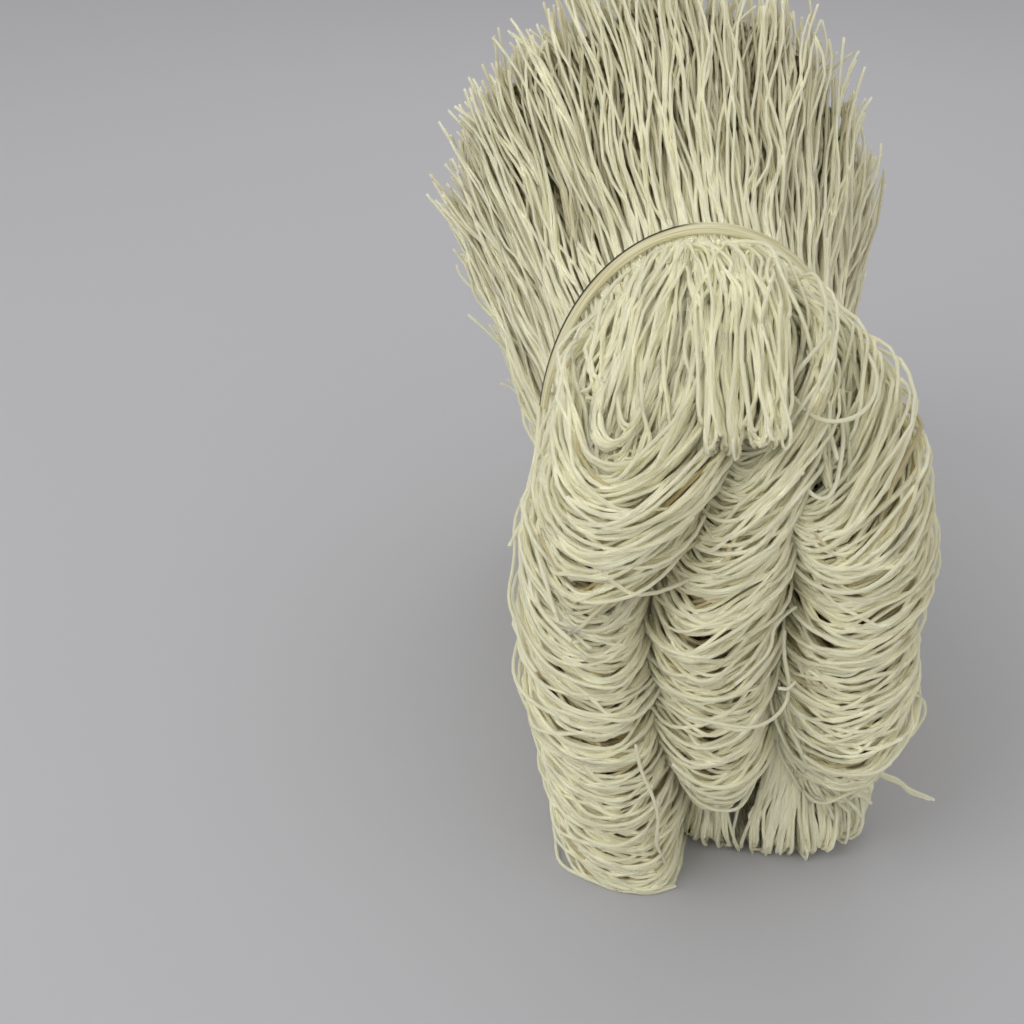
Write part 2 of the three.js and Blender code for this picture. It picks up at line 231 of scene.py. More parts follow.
# Tubes along many paths at once. At each sample, side stands square to the path and to `up`, and
# lift stands square to both; the ring there is the path + radius (cos a side + sin a lift).
# Each point also stores its strand's random number, its distance along it, how near it is to a cut
# end, and how much painted shade, a browner colour, it gets for lying inside the sheaf (0 to 1).
def tubes(paths, up, rng, cutStart=0.0, cutEnd=0.0, inner=0.0):
    paths = paths.copy()
    paths[..., 2] = np.maximum(paths[..., 2], noodle["offFloor"])
    strands, samples, _ = paths.shape
    each, sides = (strands, 1, 1), noodle["sides"]
    along = unit(np.gradient(paths, axis=1))
    side = unit(np.cross(along, up))
    lift = np.cross(side, along)
    angle = np.arange(sides) * 2 * math.pi / sides + rng.uniform(0, 2 * math.pi, each)
    thick = noodle["radius"] * (1 + noodle["unevenness"] * rng.normal(size=each))
    thick = thick * (1 + noodle["unevenAlong"] * rng.normal(size=(strands, samples, 1)))
    rings = (
        paths[:, :, None]
        + (thick * np.cos(angle))[..., None] * side[:, :, None]
        + (thick * np.sin(angle))[..., None] * lift[:, :, None]
    )
    index = np.arange(strands * samples * sides).reshape(strands, samples, sides)
    here, there = index[:, :-1], index[:, 1:]
    walls = np.stack([here, there, np.roll(there, -1, 2), np.roll(here, -1, 2)], -1)
    ends = np.concatenate([index[:, 0], index[:, -1, ::-1]])
    run = distances(paths)[..., None]
    tint = rng.uniform(0, 1, each)
    length = (run + rng.uniform(0, noodle["lengthStart"], each)) * mm
    near = cutStart * np.exp(-run / noodle["cutFade"])
    near = near + cutEnd * np.exp((run - run[:, -1:]) / noodle["cutFade"])
    inner = np.reshape(inner, (-1, 1, 1))
    stored = {"strandTint": tint, "runLength": length, "cutEnd": near, "paintedShadeInside": inner}
    stored = {label: np.broadcast_to(value, rings.shape[:3]) for label, value in stored.items()}
    return rings.reshape(-1, 3), [walls.reshape(-1, 4), ends], stored


# Quads between lines of point numbers and the next lines, round in columns.
def roundWalls(here, there):
    walls = np.stack([here, np.roll(here, -1, 1), np.roll(there, -1, 1), there], -1)
    return walls.reshape(-1, 4)


# A closed skin over a grid [line, column, 3] that goes round in columns, with a point at each end.
def skin(grid, first, last):
    lines, columns, _ = grid.shape
    index = np.arange(lines * columns).reshape(lines, columns)
    start = np.stack([np.roll(index[0], -1), index[0], np.full(columns, index.size)], -1)
    end = np.stack([index[-1], np.roll(index[-1], -1), np.full(columns, index.size + 1)], -1)
    points = np.concatenate([grid.reshape(-1, 3), [first], [last]])
    return points, [roundWalls(index[:-1], index[1:]), np.concatenate([start, end])], {}


# The section of the fan at y. It opens slowly and then evenly, like one arm of a hyperbola: with s
# the share of the way back, as sqrt(s s + k k) - k.
def fanSection(y):
    start, k = neck["y"] + neck["halfLength"], fan["softStart"]
    behind = np.maximum(0, (y - start) / (fan["y"] - start))
    flare = (np.hypot(behind, k) - k) / (math.hypot(1, k) - k)
    keys = ("x", "z", "halfWidth", "above", "below")
    return [neck[key] + (fan[key] - neck[key]) * flare for key in keys] + [flare]


# What lies low in the fan is drawn in and leans to the right.
def drawnIn(across, low, flare):
    return across * (1 - fan["narrowing"] * flare * low) + fan["lean"] * flare * low * (1 - low)


# A point of the fan at a share of its section's size and a turn round it.
def fanPoints(y, turn, size):
    x, z, halfWidth, above, below, flare = fanSection(y)
    upward = np.sin(turn) * size
    across = drawnIn(-np.cos(turn) * size * halfWidth, np.clip(-upward, 0, 1), flare)
    return np.stack([x + across, y, z + upward * np.where(upward > 0, above, below)], -1)


# Where a noodle at (x, z) in the block passes through the neck: the block's rounded square is
# pressed into the neck's oval. The depth keeps inner noodles inside outer ones.
def neckSpot(x, z, depth):
    u = np.clip((x - block["x"]) / block["halfWidth"], -1, 1)
    v = np.clip((z - block["z"]) / block["halfHeight"], -1, 1)
    shrink = 1 - depth / neck["halfWidth"]
    across = u * np.sqrt(1 - v * v / 2) * shrink
    upward = v * np.sqrt(1 - u * u / 2) * shrink
    neckX, neckZ = neck["x"] + across * neck["halfWidth"], neck["z"] + upward * neck["above"]
    return np.stack([neckX, np.full(len(x), neck["y"]), neckZ], -1)


# How far the legs of a bend run back: the whole way under the tie, half of it, or a short way to an
# end inside the sheaf. The last point goes on by a share of the last step and a way inwards.
legs = {
    "whole": (0.15, 0.36, 0.6, 0.82, 0.96), "half": (0.15, 0.36, 0.58, 0.78), "short": (0.13, 0.26),
    "turning": (-0.05, 0.98), "onward": 0.8, "inward": 3.2, "aimBelow": 6.0,
}


# Control points of legs that run back from `start` [strand, 3] towards the neck, straight along Y
# and with a smooth step across. The last one dips under the tie, or into the sheaf.
def legControls(start, depth, reach):
    turn = smoothStep(np.array(reach), *legs["turning"])
    shares = np.stack([turn, reach, turn], -1)
    toNeck = neckSpot(start[:, 0], start[:, 2], depth) - start
    points = start[:, None] + toNeck[:, None] * shares
    step = points[:, -1] - points[:, -2]
    middle = np.array([neck["x"], 0, neck["z"] - legs["aimBelow"]])
    inward = unit(middle - points[:, -1] * [1, 0, 1])
    last = points[:, -1] + step * legs["onward"] + inward * legs["inward"]
    return np.concatenate([points, last[:, None]], axis=1)


bendTurns = np.radians([0, 26, 50, 72, 90, 108, 130, 154, 180])
bendUp = np.array([0.0, 0.25, 1.0])
# inner: how much painted shade, a browner colour, each layer's noodles get for lying inside the
# sheaf
layers = [
    {"inset": 0.0, "pitch": 1.0, "reach": legs["whole"], "samples": 24, "inner": 0.0},
    {"inset": 0.8, "pitch": 1.1, "reach": legs["half"], "samples": 18, "inner": 0.2},
    {"inset": 1.7, "pitch": 1.5, "reach": legs["short"], "samples": 14, "inner": 0.7},
    {"inset": 2.7, "pitch": 1.6, "reach": legs["short"], "samples": 12, "inner": 1.0},
]

# A bend's own inset, slant and sag in millimetres, the share whose slant is wild, and how bends
# bunch. The stretch is what the spline's rounding takes off a bend's width and depth.
bends = {
    "insetRange": (-0.4, 0.5), "slant": 2.9, "sag": 1.9, "wildShare": 0.2, "wildSlant": 2.6,
    "wobble": 0.135, "bunchApart": 6.0, "bunchAmount": 0.155, "bunchGrain": (0.28, 0.28, 1.0),
    "innerFade": (0.68, 0.88), "stretch": (1.03, 1.04), "leastWidth": 1.5, "leastDepth": 2.0,
}

# loose bends that stand proud of a hank, and those of them that are broken after so many points
proud = {
    "share": 0.05, "along": (0.05, 0.95), "out": (0.6, 2.2), "slant": 3.0, "sag": (-1, 4),
    "wobbles": (0.06, 0.05), "samples": 28, "brokenPoints": 13, "brokenSamples": 30,
}

# the nest of ever smaller bends that closes a hank's top, in two layers
nest = {
    "drops": (0.0, 1.1), "pitch": 1.2, "jitter": 0.8, "sag": 0.8, "slant": 1.4, "hollowAt": (5, 10),
    "wobble": 0.08, "samples": 26,
}

# Rows of a hank, bottom to top: middle x, half width, height, distance behind the front plane,
# droop, depth, sideways shift of the foremost point, and how far the right side is raised and the
# left side lowered.
hanks = {
    "leftHank": {
        "seed": 11, "top": {"bends": 11, "sink": 0.2, "hollow": 0.0},
        "rows": [
            (-19, 14, -6, 11, 6, 20, 2, 0),
            (-22, 16, 8, 7, 8, 21, 2, 0),
            (-26, 17, 34, 5, 9, 22, 1, 0),
            (-32, 17, 66, 4.5, 8, 22, 0, -1),
            (-33, 15.5, 88, 6, 8, 22, 0, -2),
            (-32, 11, 108, 9, 8, 20, 0, -2),
        ],
    },
    "upperRoll": {
        "seed": 12, "top": {"bends": 9, "sink": 0.25, "hollow": 3.0},
        "rows": [
            (-27, 14, 97, 8, 4, 22, -3, 7),
            (-24, 18.5, 105, 2, 7, 24, -5, 8),
            (-21.5, 21.5, 118, 0.5, 9, 26, -6, 7),
            (-22.5, 20.5, 130, 3, 11, 28, -6, 5),
            (-23.5, 16, 140, 8, 17, 30, -6, 3),
        ],
    },
    "middleHank": {
        "seed": 13, "top": {"bends": 12, "sink": -0.5, "hollow": 0.0},
        "rows": [
            (2, 8, 30, 13, 6, 16, 0, 0),
            (2, 13, 43, 8, 8, 20, 0, 1),
            (-2, 16.5, 66, 5, 9, 22, 0, 1),
            (0, 17, 98, 5, 10, 24, -4, 5),
            (7, 16.5, 124, 8, 14, 26, -7, 8),
            (11, 13, 141, 20, 17, 28, -6, 4),
        ],
    },
    "rightHank": {
        "seed": 14, "top": {"bends": 14, "sink": -0.7, "hollow": 0.0},
        "rows": [
            (36, 12, 33, 17, 8, 18, -2, 4),
            (35, 16, 47, 10, 9, 20, -1, 4),
            (34, 17.5, 68, 8.5, 8, 22, -2, 3),
            (33, 17.2, 102, 8.5, 9, 24, -4, 5),
            (28.5, 14.6, 121, 12, 14, 26, -6, 7),
            (22, 12, 135, 24, 19, 28, -5, 4),
        ],
    },
}


# A hank's rows at shares of the way up, each quantity as a column.
def readRows(rows, share):
    return glide(rows, share).T[..., None]


# Whole bends with their legs, in order along each noodle. A bend is an ellipse from its left side
# round the front to its right side: x goes with -cos, the reach to the front with sin, and the
# front droops with sin to the power 1.4.
def bendControls(rows, share, inset, slant, sag, reach):
    x, halfWidth, height, back, droop, depth, shift, tilt = readRows(rows, share)
    narrower, slant, sag = inset[:, None], slant[:, None], sag[:, None]
    sine, cosine = np.sin(bendTurns), np.cos(bendTurns)
    wide = np.maximum(halfWidth - narrower, bends["leastWidth"]) * bends["stretch"][0]
    deep = np.maximum(depth - narrower, bends["leastDepth"]) * bends["stretch"][1]
    across = x - cosine * wide + shift * sine**2
    forward = frontPlane + back + depth - deep * sine**0.9
    upward = height + (slant - tilt) * cosine - (droop + sag) * sine**1.4
    points = np.stack([across, forward, upward], -1)
    left, right = (legControls(points[:, k], np.maximum(inset, 0), reach) for k in (0, -1))
    return np.concatenate([left[:, ::-1], points, right], axis=1)


# Shares at which bends sit along a hank, about `pitch` apart.
def bendShares(rows, pitch, rng):
    fine = np.linspace(0, 1, 400)
    run = distances(glide(rows, fine)[:, [0, 2, 3]])
    count = round(run[-1] / pitch)
    place = (np.arange(count) + 0.5 + rng.uniform(-0.45, 0.45, count)) / count
    return np.interp(place * run[-1], run, fine)


# A hank: layers of bends one inside the other, a few that stand proud, and the nest at its top.
def makeHank(name, hank):
    rng = np.random.default_rng(hank["seed"])
    rows, sets = hank["rows"], []
    for layer in layers:
        share = bendShares(rows, layer["pitch"], rng)
        count = len(share)
        inset = layer["inset"] + rng.uniform(*bends["insetRange"], count)
        slant = rng.normal(0, bends["slant"], count)
        wild = rng.uniform(size=count) < bends["wildShare"]
        slant = np.where(wild, slant * bends["wildSlant"], slant)
        sag = rng.normal(0, bends["sag"], count)
        controls = bendControls(rows, share, inset, slant, sag, layer["reach"])
        controls = wobble(controls, rng, bends["wobble"])
        controls = gather(controls, bends["bunchApart"], bends["bunchAmount"], bends["bunchGrain"])
        # painted shade for the inner layers, fading out near the hank's top, where they come to the
        # surface
        inner = layer["inner"] * (1 - smoothStep(share, *bends["innerFade"]))
        paths = bendPaths(settle(controls), layer["samples"])
        sets.append(tubes(paths, bendUp, rng, inner=inner))

    whole = round(count * proud["share"])
    count = 2 * whole
    share, inset = rng.uniform(*proud["along"], count), -rng.uniform(*proud["out"], count)
    slant, sag = rng.normal(0, proud["slant"], count), rng.uniform(*proud["sag"], count)
    controls = bendControls(rows, share, inset, slant, sag, legs["whole"])
    for amount in proud["wobbles"]:
        controls = wobble(controls, rng, amount)
    controls = settle(controls)
    sets.append(tubes(bendPaths(controls[:whole], proud["samples"]), bendUp, rng))
    broken = np.concatenate([controls[whole::2], controls[whole + 1 :: 2, ::-1]])
    paths = smoothPaths(broken[:, : proud["brokenPoints"]], proud["brokenSamples"])
    sets.append(tubes(paths, bendUp, rng, cutEnd=1.0))

    top = hank["top"]
    count = top["bends"]
    for drop in nest["drops"]:
        inset = (np.arange(count) + rng.uniform(0, nest["jitter"], count)) * nest["pitch"]
        sag = top["sink"] * inset + rng.normal(0, nest["sag"], count)
        slant = rng.normal(0, nest["slant"], count)
        controls = bendControls(rows, np.full(count, 1.0), inset, slant, sag, legs["whole"])
        hollow = top["hollow"] * smoothStep(inset, *nest["hollowAt"])
        controls[..., 2] -= drop + hollow[:, None]
        controls = settle(wobble(controls, rng, nest["wobble"]))
        sets.append(tubes(bendPaths(controls, nest["samples"]), bendUp, rng))
    return joinSets(name + "Noodles", sets)


pieces = {name: makeHank(name, hank) for name, hank in hanks.items()}

# Groups of hairpins over the top. A value is a plain number, drawn evenly between two ends, or
# ragged round a middle. "height" gives the tips' z from their y, and "neck" the place in the neck
# from their x: at 0, per millimetre, and how ragged. "twist" is how far apart the two legs start,
# "crown" how far they bulge and "spread" half the gap between them at the tip.
curtain = {
    "seed": 42, "count": 142, "sway": 1.7, "x": ("even", -36, -8), "y": ("even", -101, -76),
    "height": (179.0, 0.55, 1.4), "neck": (17.2, 1.2, 3.5),
    "twist": ("even", 0, 9), "depth": ("even", 0, 2.2), "crown": ("even", 2, 6),
    "spread": [("even", 1.0, 4.5), ("ragged", 0, 0.8), ("ragged", 0, 0.9)],
}
sweep = {
    "seed": 46, "count": 12, "sway": 1.0, "x": ("even", -35, -26), "y": ("even", -101, -90),
    "height": (164.0, 0.4, 0.8), "neck": (17.0, 0.8, 1.5),
    "twist": ("even", 1, 6), "depth": -0.3, "crown": ("even", 4, 7),
    "spread": [("even", 1.5, 4.0), ("ragged", -0.8, 0.6), ("ragged", -0.6, 0.5)],
}
shoulder = {
    "seed": 43, "count": 88, "sway": 1.3, "x": ("even", 7, 30), "y": ("even", -92, -72),
    "height": (196.2, 0.85, 1.2), "neck": (1.1, 1.1, 3.0),
    "twist": ("even", 0, 9), "depth": ("even", 0, 2.0), "crown": ("even", 1, 4),
    "spread": [("even", 1.5, 5.0), 0.0, ("ragged", -1, 0.8)],
}

# The blunt hank: bunches as (left, right, hairpins, raised), each in rows one below the other.
bluntHank = {
    "seed": 41, "bunches": [(-10.0, -0.8, 15, 0.0), (0.6, 8.5, 13, 2.5)], "rows": 3, "sway": 0.9,
    "tipY": -101.0, "tipYStep": 1.5, "tipYRagged": 1.8, "rounded": 8.0,
    "tipZ": 133.0, "tipZStep": 1.3, "tipZRagged": 1.4, "neck": (5.15, 1.15, 3.0), "twist": 3.5,
    "curl": (0.0, -1.4, 2.2), "curlRange": (0.7, 1.6), "splay": 0.7,
    "crown": 5.5, "crownStep": 0.8, "crownRagged": 0.9, "depth": 0.3, "depthRange": (0, 0.6),
}
topRun = {
    "wobble": 0.1, "wave": 34.0, "apart": 6.0, "amount": 0.16, "grain": (1.0, 0.25, 0.25),
    "shares": (0.22, 0.4, 0.6, 0.78, 0.92), "partsAt": (0.3, 1.0), "reach": 0.8, "closer": 0.55,
    "sidePower": 1.3, "dropPower": 2.4,
}
topSamples = {"hairpins": 32, "single": 34}
hangUp = np.array([0.0, 0.8, -0.6])

# how a noodle passes under the tie, from inside the sheaf to just in front of the tie
underTie = np.array([[0, 9, -4], [0, 2, -0.4], [0, -5, -0.9]])


# Values for each of `count` noodles, as the groups give them.
def draw(rng, value, count):
    if not isinstance(value, tuple):
        return np.full(count, value)
    kind, first, second = value
    return (rng.uniform if kind == "even" else rng.normal)(first, second, count)


# A straight line through the values, and a ragged part: at + slope value + random.
def ragged(rng, value, line):
    at, slope, deviation = line
    return at + slope * value + rng.normal(0, deviation, len(value))


# Spots [strand, 1, 3] on the neck's oval near its top, for noodles at a sideways place x.
def neckTop(x, depth):
    across = np.clip((x - neck["x"]) / neck["halfWidth"], -0.98, 0.98)
    shrink = 1 - depth / neck["halfWidth"]
    height = neck["z"] + neck["above"] * shrink * np.sqrt(1 - across**2)
    spots = [neck["x"] + (x - neck["x"]) * shrink, np.full(len(x), neck["y"]), height]
    return np.stack(spots, -1)[:, None]


# The line along the top from the neck to a tip, at shares of the way: it bulges by `crown` and
# steepens towards the tip, with powers of the share.
def topLine(neckX, depth, tips, crown, shares):
    start = neckTop(neckX, depth)
    powers = [shares ** topRun["sidePower"], shares, shares ** topRun["dropPower"]]
    line = start + (tips[:, None] - start) * np.stack(powers, -1)
    line[..., 2] += crown[:, None] * np.sin(math.pi * shares)
    return start, line


# Hairpins that run forward from the neck's top and hang down to their tips. The two legs part by
# a smooth step, and the bend reaches past the tip by a share of the gap between them.
def hairpinControls(neckX, twist, depth, tips, crown, spread):
    shares = np.array(topRun["shares"])
    halves = []
    for sign in (1, -1):
        start, leg = topLine(neckX + sign * twist / 2, depth, tips, crown, shares)
        leg += sign * spread[:, None] * smoothStep(shares, *topRun["partsAt"])[:, None]
        halves.append(np.concatenate([start + underTie, leg], axis=1))
    ahead = unit(tips - (halves[0][:, -1] + halves[1][:, -1]) / 2)
    reach = topRun["reach"] * ahead * np.linalg.norm(spread, axis=1, keepdims=True)
    closer = topRun["closer"] * spread
    bend = np.stack([tips + spread, tips + closer + reach, tips - closer + reach, tips - spread], 1)
    return np.concatenate([halves[0], bend, halves[1][:, ::-1]], axis=1)


# A group of hairpins: the curtain slopes from the neck into the hollow of the upper roll, the sweep
# crosses it from the middle to the left, and the shoulder lies over the middle and right hanks.
def hairpinPaths(rng, group):
    count = group["count"]
    x, y = (draw(rng, group[key], count) for key in ("x", "y"))
    tips = np.stack([x, y, ragged(rng, y, group["height"])], -1)
    spread = np.stack([draw(rng, value, count) for value in group["spread"]], -1)
    neckX = ragged(rng, x, group["neck"])
    twist, depth, crown = (draw(rng, group[key], count) for key in ("twist", "depth", "crown"))
    return hairpinControls(neckX, twist, depth, tips, crown, spread)


# The blunt hank's hairpins lie side by side in two bunches and curl under at their tips.
def bluntPaths(rng, group):
    sets = []
    for left, right, count, raised in group["bunches"]:
        for row in range(group["rows"]):
            place = (np.arange(count) + rng.uniform(-0.5, 0.5, count)) / (count - 1)
            x = left + (right - left) * place
            y = group["tipY"] + group["tipYStep"] * row + rng.normal(0, group["tipYRagged"], count)
            y = y + group["rounded"] * (place - 0.5) ** 2
            z = group["tipZ"] + raised - group["tipZStep"] * row
            z = z + rng.normal(0, group["tipZRagged"], count)
            spread = np.array(group["curl"]) * rng.uniform(*group["curlRange"], (count, 1))
            spread = spread + rng.normal(0, group["splay"], (count, 3)) * [1, 0, 0]
            neckX = ragged(rng, x, group["neck"])
            crown = group["crown"] - group["crownStep"] * row
            crown = crown + rng.normal(0, group["crownRagged"], count)
            depth = group["depth"] + row + rng.uniform(*group["depthRange"], count)
            twist = rng.normal(0, group["twist"], count)
            tips = np.stack([x, y, z], -1)
            sets.append(hairpinControls(neckX, twist, depth, tips, crown, spread))
    return np.concatenate(sets)


# Kinked noodles that lie loosely over the others in front of the tie. Most of them cross to the
# right on the way, and come down where the hank below them ends.
kinks = {
    "seed": 44, "count": 17, "left": -14.0, "right": 12.0, "stations": 11, "depth": -0.3,
    "tip": (-97.0, 133.0), "from": 0.14, "to": (0.45, 0.85), "step": 1.5, "lift": 1.3, "bob": 0.6,
    "tipX": (0.9, -3.0), "looseFrom": 0.1, "loosening": 6, "crossing": (-0.3, 1),
    "sideways": 13.0, "crossAt": (0.12, 0.55), "tuck": 3.0, "tuckAt": (3, 1),
    "fall": 9.0, "fallAt": (9, 20), "fallAlong": (0.25, 0.7),
}


# Each follows the line along the top, with a random walk sideways and an arch, a sine, upwards.
def kinkPaths(rng):
    count, stations = kinks["count"], kinks["stations"]
    neckX = rng.uniform(kinks["left"], kinks["right"], count)
    tipY, tipZ = (np.full(count, value) for value in kinks["tip"])
    tips = np.stack([neckX * kinks["tipX"][0] + kinks["tipX"][1], tipY, tipZ], -1)
    shares = kinks["from"] + np.linspace(0, 1, stations) * rng.uniform(*kinks["to"], (count, 1))
    start, line = topLine(neckX, kinks["depth"], tips, np.zeros(count), shares)
    loosened = np.minimum((shares - kinks["looseFrom"]) * kinks["loosening"], 1)
    line[..., 0] += np.cumsum(rng.normal(0, kinks["step"], (count, stations)), axis=1) * loosened
    crossing = rng.uniform(*kinks["crossing"], (count, 1)) * kinks["sideways"]
    line[..., 0] += crossing * smoothStep(shares, *kinks["crossAt"])
    rise = bluntHank["crown"] * np.sin(math.pi * shares) + kinks["lift"]
    rise = rise + rng.normal(0, kinks["bob"], (count, stations))
    tuckFrom, tuckTo = (stations - before for before in kinks["tuckAt"])
    tuck = kinks["tuck"] * smoothStep(np.arange(stations), tuckFrom, tuckTo)
    fall = kinks["fall"] * smoothStep(line[..., 0], *kinks["fallAt"])
    line[..., 2] += rise * loosened - tuck - fall * smoothStep(shares, *kinks["fallAlong"])
    return np.concatenate([start + underTie, line], axis=1)


# Long loose noodles that cross the others on their way over the right shoulder, and hang down it.
drapes = {
    "seed": 45, "count": 32, "left": -2.0, "right": 25.0, "stations": 10, "depth": -0.4,
    "lift": 0.6, "forward": 66.0, "sideways": 16.0, "closing": 0.25, "ragged": 4.0,
    "fall": 40.0, "fallRagged": 0.1, "fallPower": 2.6, "wander": 2.6, "wanderUp": 0.3,
    "neckRange": (-2, 2), "from": 0.15, "crossAt": (0.1, 0.8), "loosening": 4, "rising": 5,
}


# Sideways they follow a smooth step of the way t, and they fall with t to the fall's power.
def drapePaths(rng):
    count, stations = drapes["count"], drapes["stations"]
    neckX = np.linspace(drapes["left"], drapes["right"], count)
    neckX = neckX + rng.uniform(*drapes["neckRange"], count)
    t = np.linspace(drapes["from"], 1, stations)
    right = drapes["sideways"] - drapes["closing"] * neckX[:, None]
    right = right + rng.normal(0, drapes["ragged"], (count, 1))
    right = right * smoothStep(t, *drapes["crossAt"])
    uneven = 1 + drapes["fallRagged"] * rng.normal(size=(count, 1))
    fall = drapes["fall"] * t ** drapes["fallPower"] * uneven
    wander = drapes["wander"] * rng.normal(size=(count, stations, 2))
    wander = wander * np.minimum(t * drapes["loosening"], 1)[:, None] * [1, drapes["wanderUp"]]
    height = drapes["lift"] * np.minimum(t * drapes["rising"], 1) - fall + wander[..., 1]
    forward = 0 * right - drapes["forward"] * t
    start = neckTop(neckX, drapes["depth"])
    line = start + np.stack([right + wander[..., 0], forward, height], -1)
    return np.concatenate([start + underTie, line], axis=1)


# Everything over the top: the hairpins wobble, sway and bunch, and the single noodles only settle.
def makeTop():
    sets = []
    for group in (bluntHank, curtain, sweep, shoulder):
        rng = np.random.default_rng(group["seed"])
        build = bluntPaths if group is bluntHank else hairpinPaths
        controls = wobble(build(rng, group), rng, topRun["wobble"])
        controls = sway(controls, rng, group["sway"], topRun["wave"])
        controls = settle(gather(controls, topRun["apart"], topRun["amount"], topRun["grain"]))
        sets.append(tubes(smoothPaths(controls, topSamples["hairpins"]), hangUp, rng))
    for group, build in ((kinks, kinkPaths), (drapes, drapePaths)):
        rng = np.random.default_rng(group["seed"])
        paths = smoothPaths(settle(build(rng)), topSamples["single"])
        sets.append(tubes(paths, hangUp, rng, cutEnd=1.0))
    return joinSets("topHairpins", sets)


pieces["topHairpins"] = makeTop()

# Upright noodles below the middle and right hanks. In front they spread from two roots between the
# hanks, stand on the floor and turn under towards the neck. Stations from the top down: height,
# how far each is pulled to its root, set inwards and leaning. On the right flank the sheaf is open
# between the skirt and the tie, and noodles further in show there.
skirt = {
    "seed": 51, "x": 17.0, "y": -74.0, "halfWidth": 28.5, "depth": 18.0,
    "layers": [(0.0, 96), (1.0, 90), (2.0, 80)], "from": -16, "to": 196, "turnRange": (-1.4, 1.4),
    "insetRange": (-0.4, 0.4), "insetWhole": 26, "neckDepth": 0.5,
    "leftRoot": -13.0, "rightRoot": 19.0, "pull": 0.6, "parting": 10.5, "gap": 2.2, "gapFade": 4.0,
    "stations": [
        (60, 1, 7, 0), (54, 1, 2, 0), (42, 0.8, 0, 0), (28, 0.5, 0, 0.4), (15, 0.2, 0, 0.8),
    ],
    "lean": 1.8, "out": 2.5, "lift": 2.2, "wobble": 0.08, "apart": 9.0, "amount": 0.16,
    "grain": (1.0, 1.0, 0.2), "samples": 24, "up": (1.0, 0.05, 0.02),
    # above the floor, turned in on it, under the sheaf, then shares of the way up to the neck
    "footRise": 5, "footTuck": 2.5, "footLift": 0.4, "underScale": (0.9, 1, 1),
    "underShift": (1.7, 7, 0), "underLift": 0.6, "climb": [(0.4, 2), (0.75, 1)],
    "onward": (0, 8, 4),
}
flank = {
    "layers": [(0.5, 60), (1.5, 50)], "bottom": 1.5, "top": 46.0, "inwards": 3.5, "forward": 4.0,
    "heightRange": (-0.6, 0.6), "ragged": 0.4, "wobble": 0.08, "apart": 9.0, "amount": 0.1,
    "grain": (1.0, 0.2, 1.0), "samples": 16, "up": (0.1, 0.1, 1.0),
}


# On the floor the rim is an ellipse, x with -cos and y with -sin of the turn. In front the noodles
# are pulled to their roots with the sine squared, and parted between them by an exponential.
def makeSkirt():
    rng = np.random.default_rng(skirt["seed"])
    sets = []
    up = np.array([0.0, 0.0, 1.0])
    for inset, count in skirt["layers"]:
        turn = np.linspace(skirt["from"], skirt["to"], count)
        turn = np.radians(turn + rng.uniform(*skirt["turnRange"], count))
        size = 1 - (inset + rng.uniform(*skirt["insetRange"], count)) / skirt["insetWhole"]
        out = np.stack([-np.cos(turn), -np.sin(turn), np.zeros(count)], -1)
        rim = np.array([skirt["x"], skirt["y"], 0.0])
        rim = rim + out * [skirt["halfWidth"], skirt["depth"], 0] * size[:, None]
        front = np.clip(np.sin(turn), 0, 1)
        away = rim[:, 0] - skirt["parting"]
        side = np.where(away < 0, -1, 1)
        rim[:, 0] += side * skirt["gap"] * np.exp(-np.abs(away) / skirt["gapFade"]) * front
        root = np.where(side < 0, skirt["leftRoot"], skirt["rightRoot"])
        pull = ((root - rim[:, 0]) * skirt["pull"] * front**2)[:, None] * [1, 0, 0]
        lean = rng.normal(0, skirt["lean"], (count, 1)) * [1, 0, 0]
        lean = lean + out * rng.uniform(0, skirt["out"], (count, 1))
        back = neckSpot(rim[:, 0], np.zeros(count), skirt["neckDepth"] + inset)
        under = rim * skirt["underScale"] + skirt["underShift"]
        foot = rim + lean + rng.exponential(skirt["lift"], (count, 1)) * up
        stations = [
            rim + pull * pulled - out * inwards + lean * leaning + up * height
            for height, pulled, inwards, leaning in skirt["stations"]
        ]
        stations += [
            foot + up * skirt["footRise"],
            foot - out * skirt["footTuck"] + up * (skirt["footLift"] + inset),
            under + up * (skirt["underLift"] + inset),
        ]
        stations += [under + (back - under) * share + up * rise for share, rise in skirt["climb"]]
        stations += [back, back + skirt["onward"]]
        controls = wobble(np.stack(stations, 1), rng, skirt["wobble"])
        controls = settle(gather(controls, skirt["apart"], skirt["amount"], skirt["grain"]))
        sets.append(tubes(smoothPaths(controls, skirt["samples"]), np.array(skirt["up"]), rng))
    for inset, count in flank["layers"]:
        height = np.linspace(flank["bottom"], flank["top"], count)
        height = height + rng.uniform(*flank["heightRange"], count)
        x = skirt["x"] + skirt["halfWidth"] - flank["inwards"] - inset
        x = x + rng.normal(0, flank["ragged"], count)
        start = np.stack([x, np.full(count, skirt["y"] - flank["forward"]), height], -1)
        back = legControls(start, np.full(count, inset), legs["whole"])
        controls = wobble(np.concatenate([start[:, None], back], 1), rng, flank["wobble"])
        controls = settle(gather(controls, flank["apart"], flank["amount"], flank["grain"]))
        sets.append(tubes(smoothPaths(controls, flank["samples"]), np.array(flank["up"]), rng))
    return joinSets("skirtNoodles", sets)


pieces["skirtNoodles"] = makeSkirt()

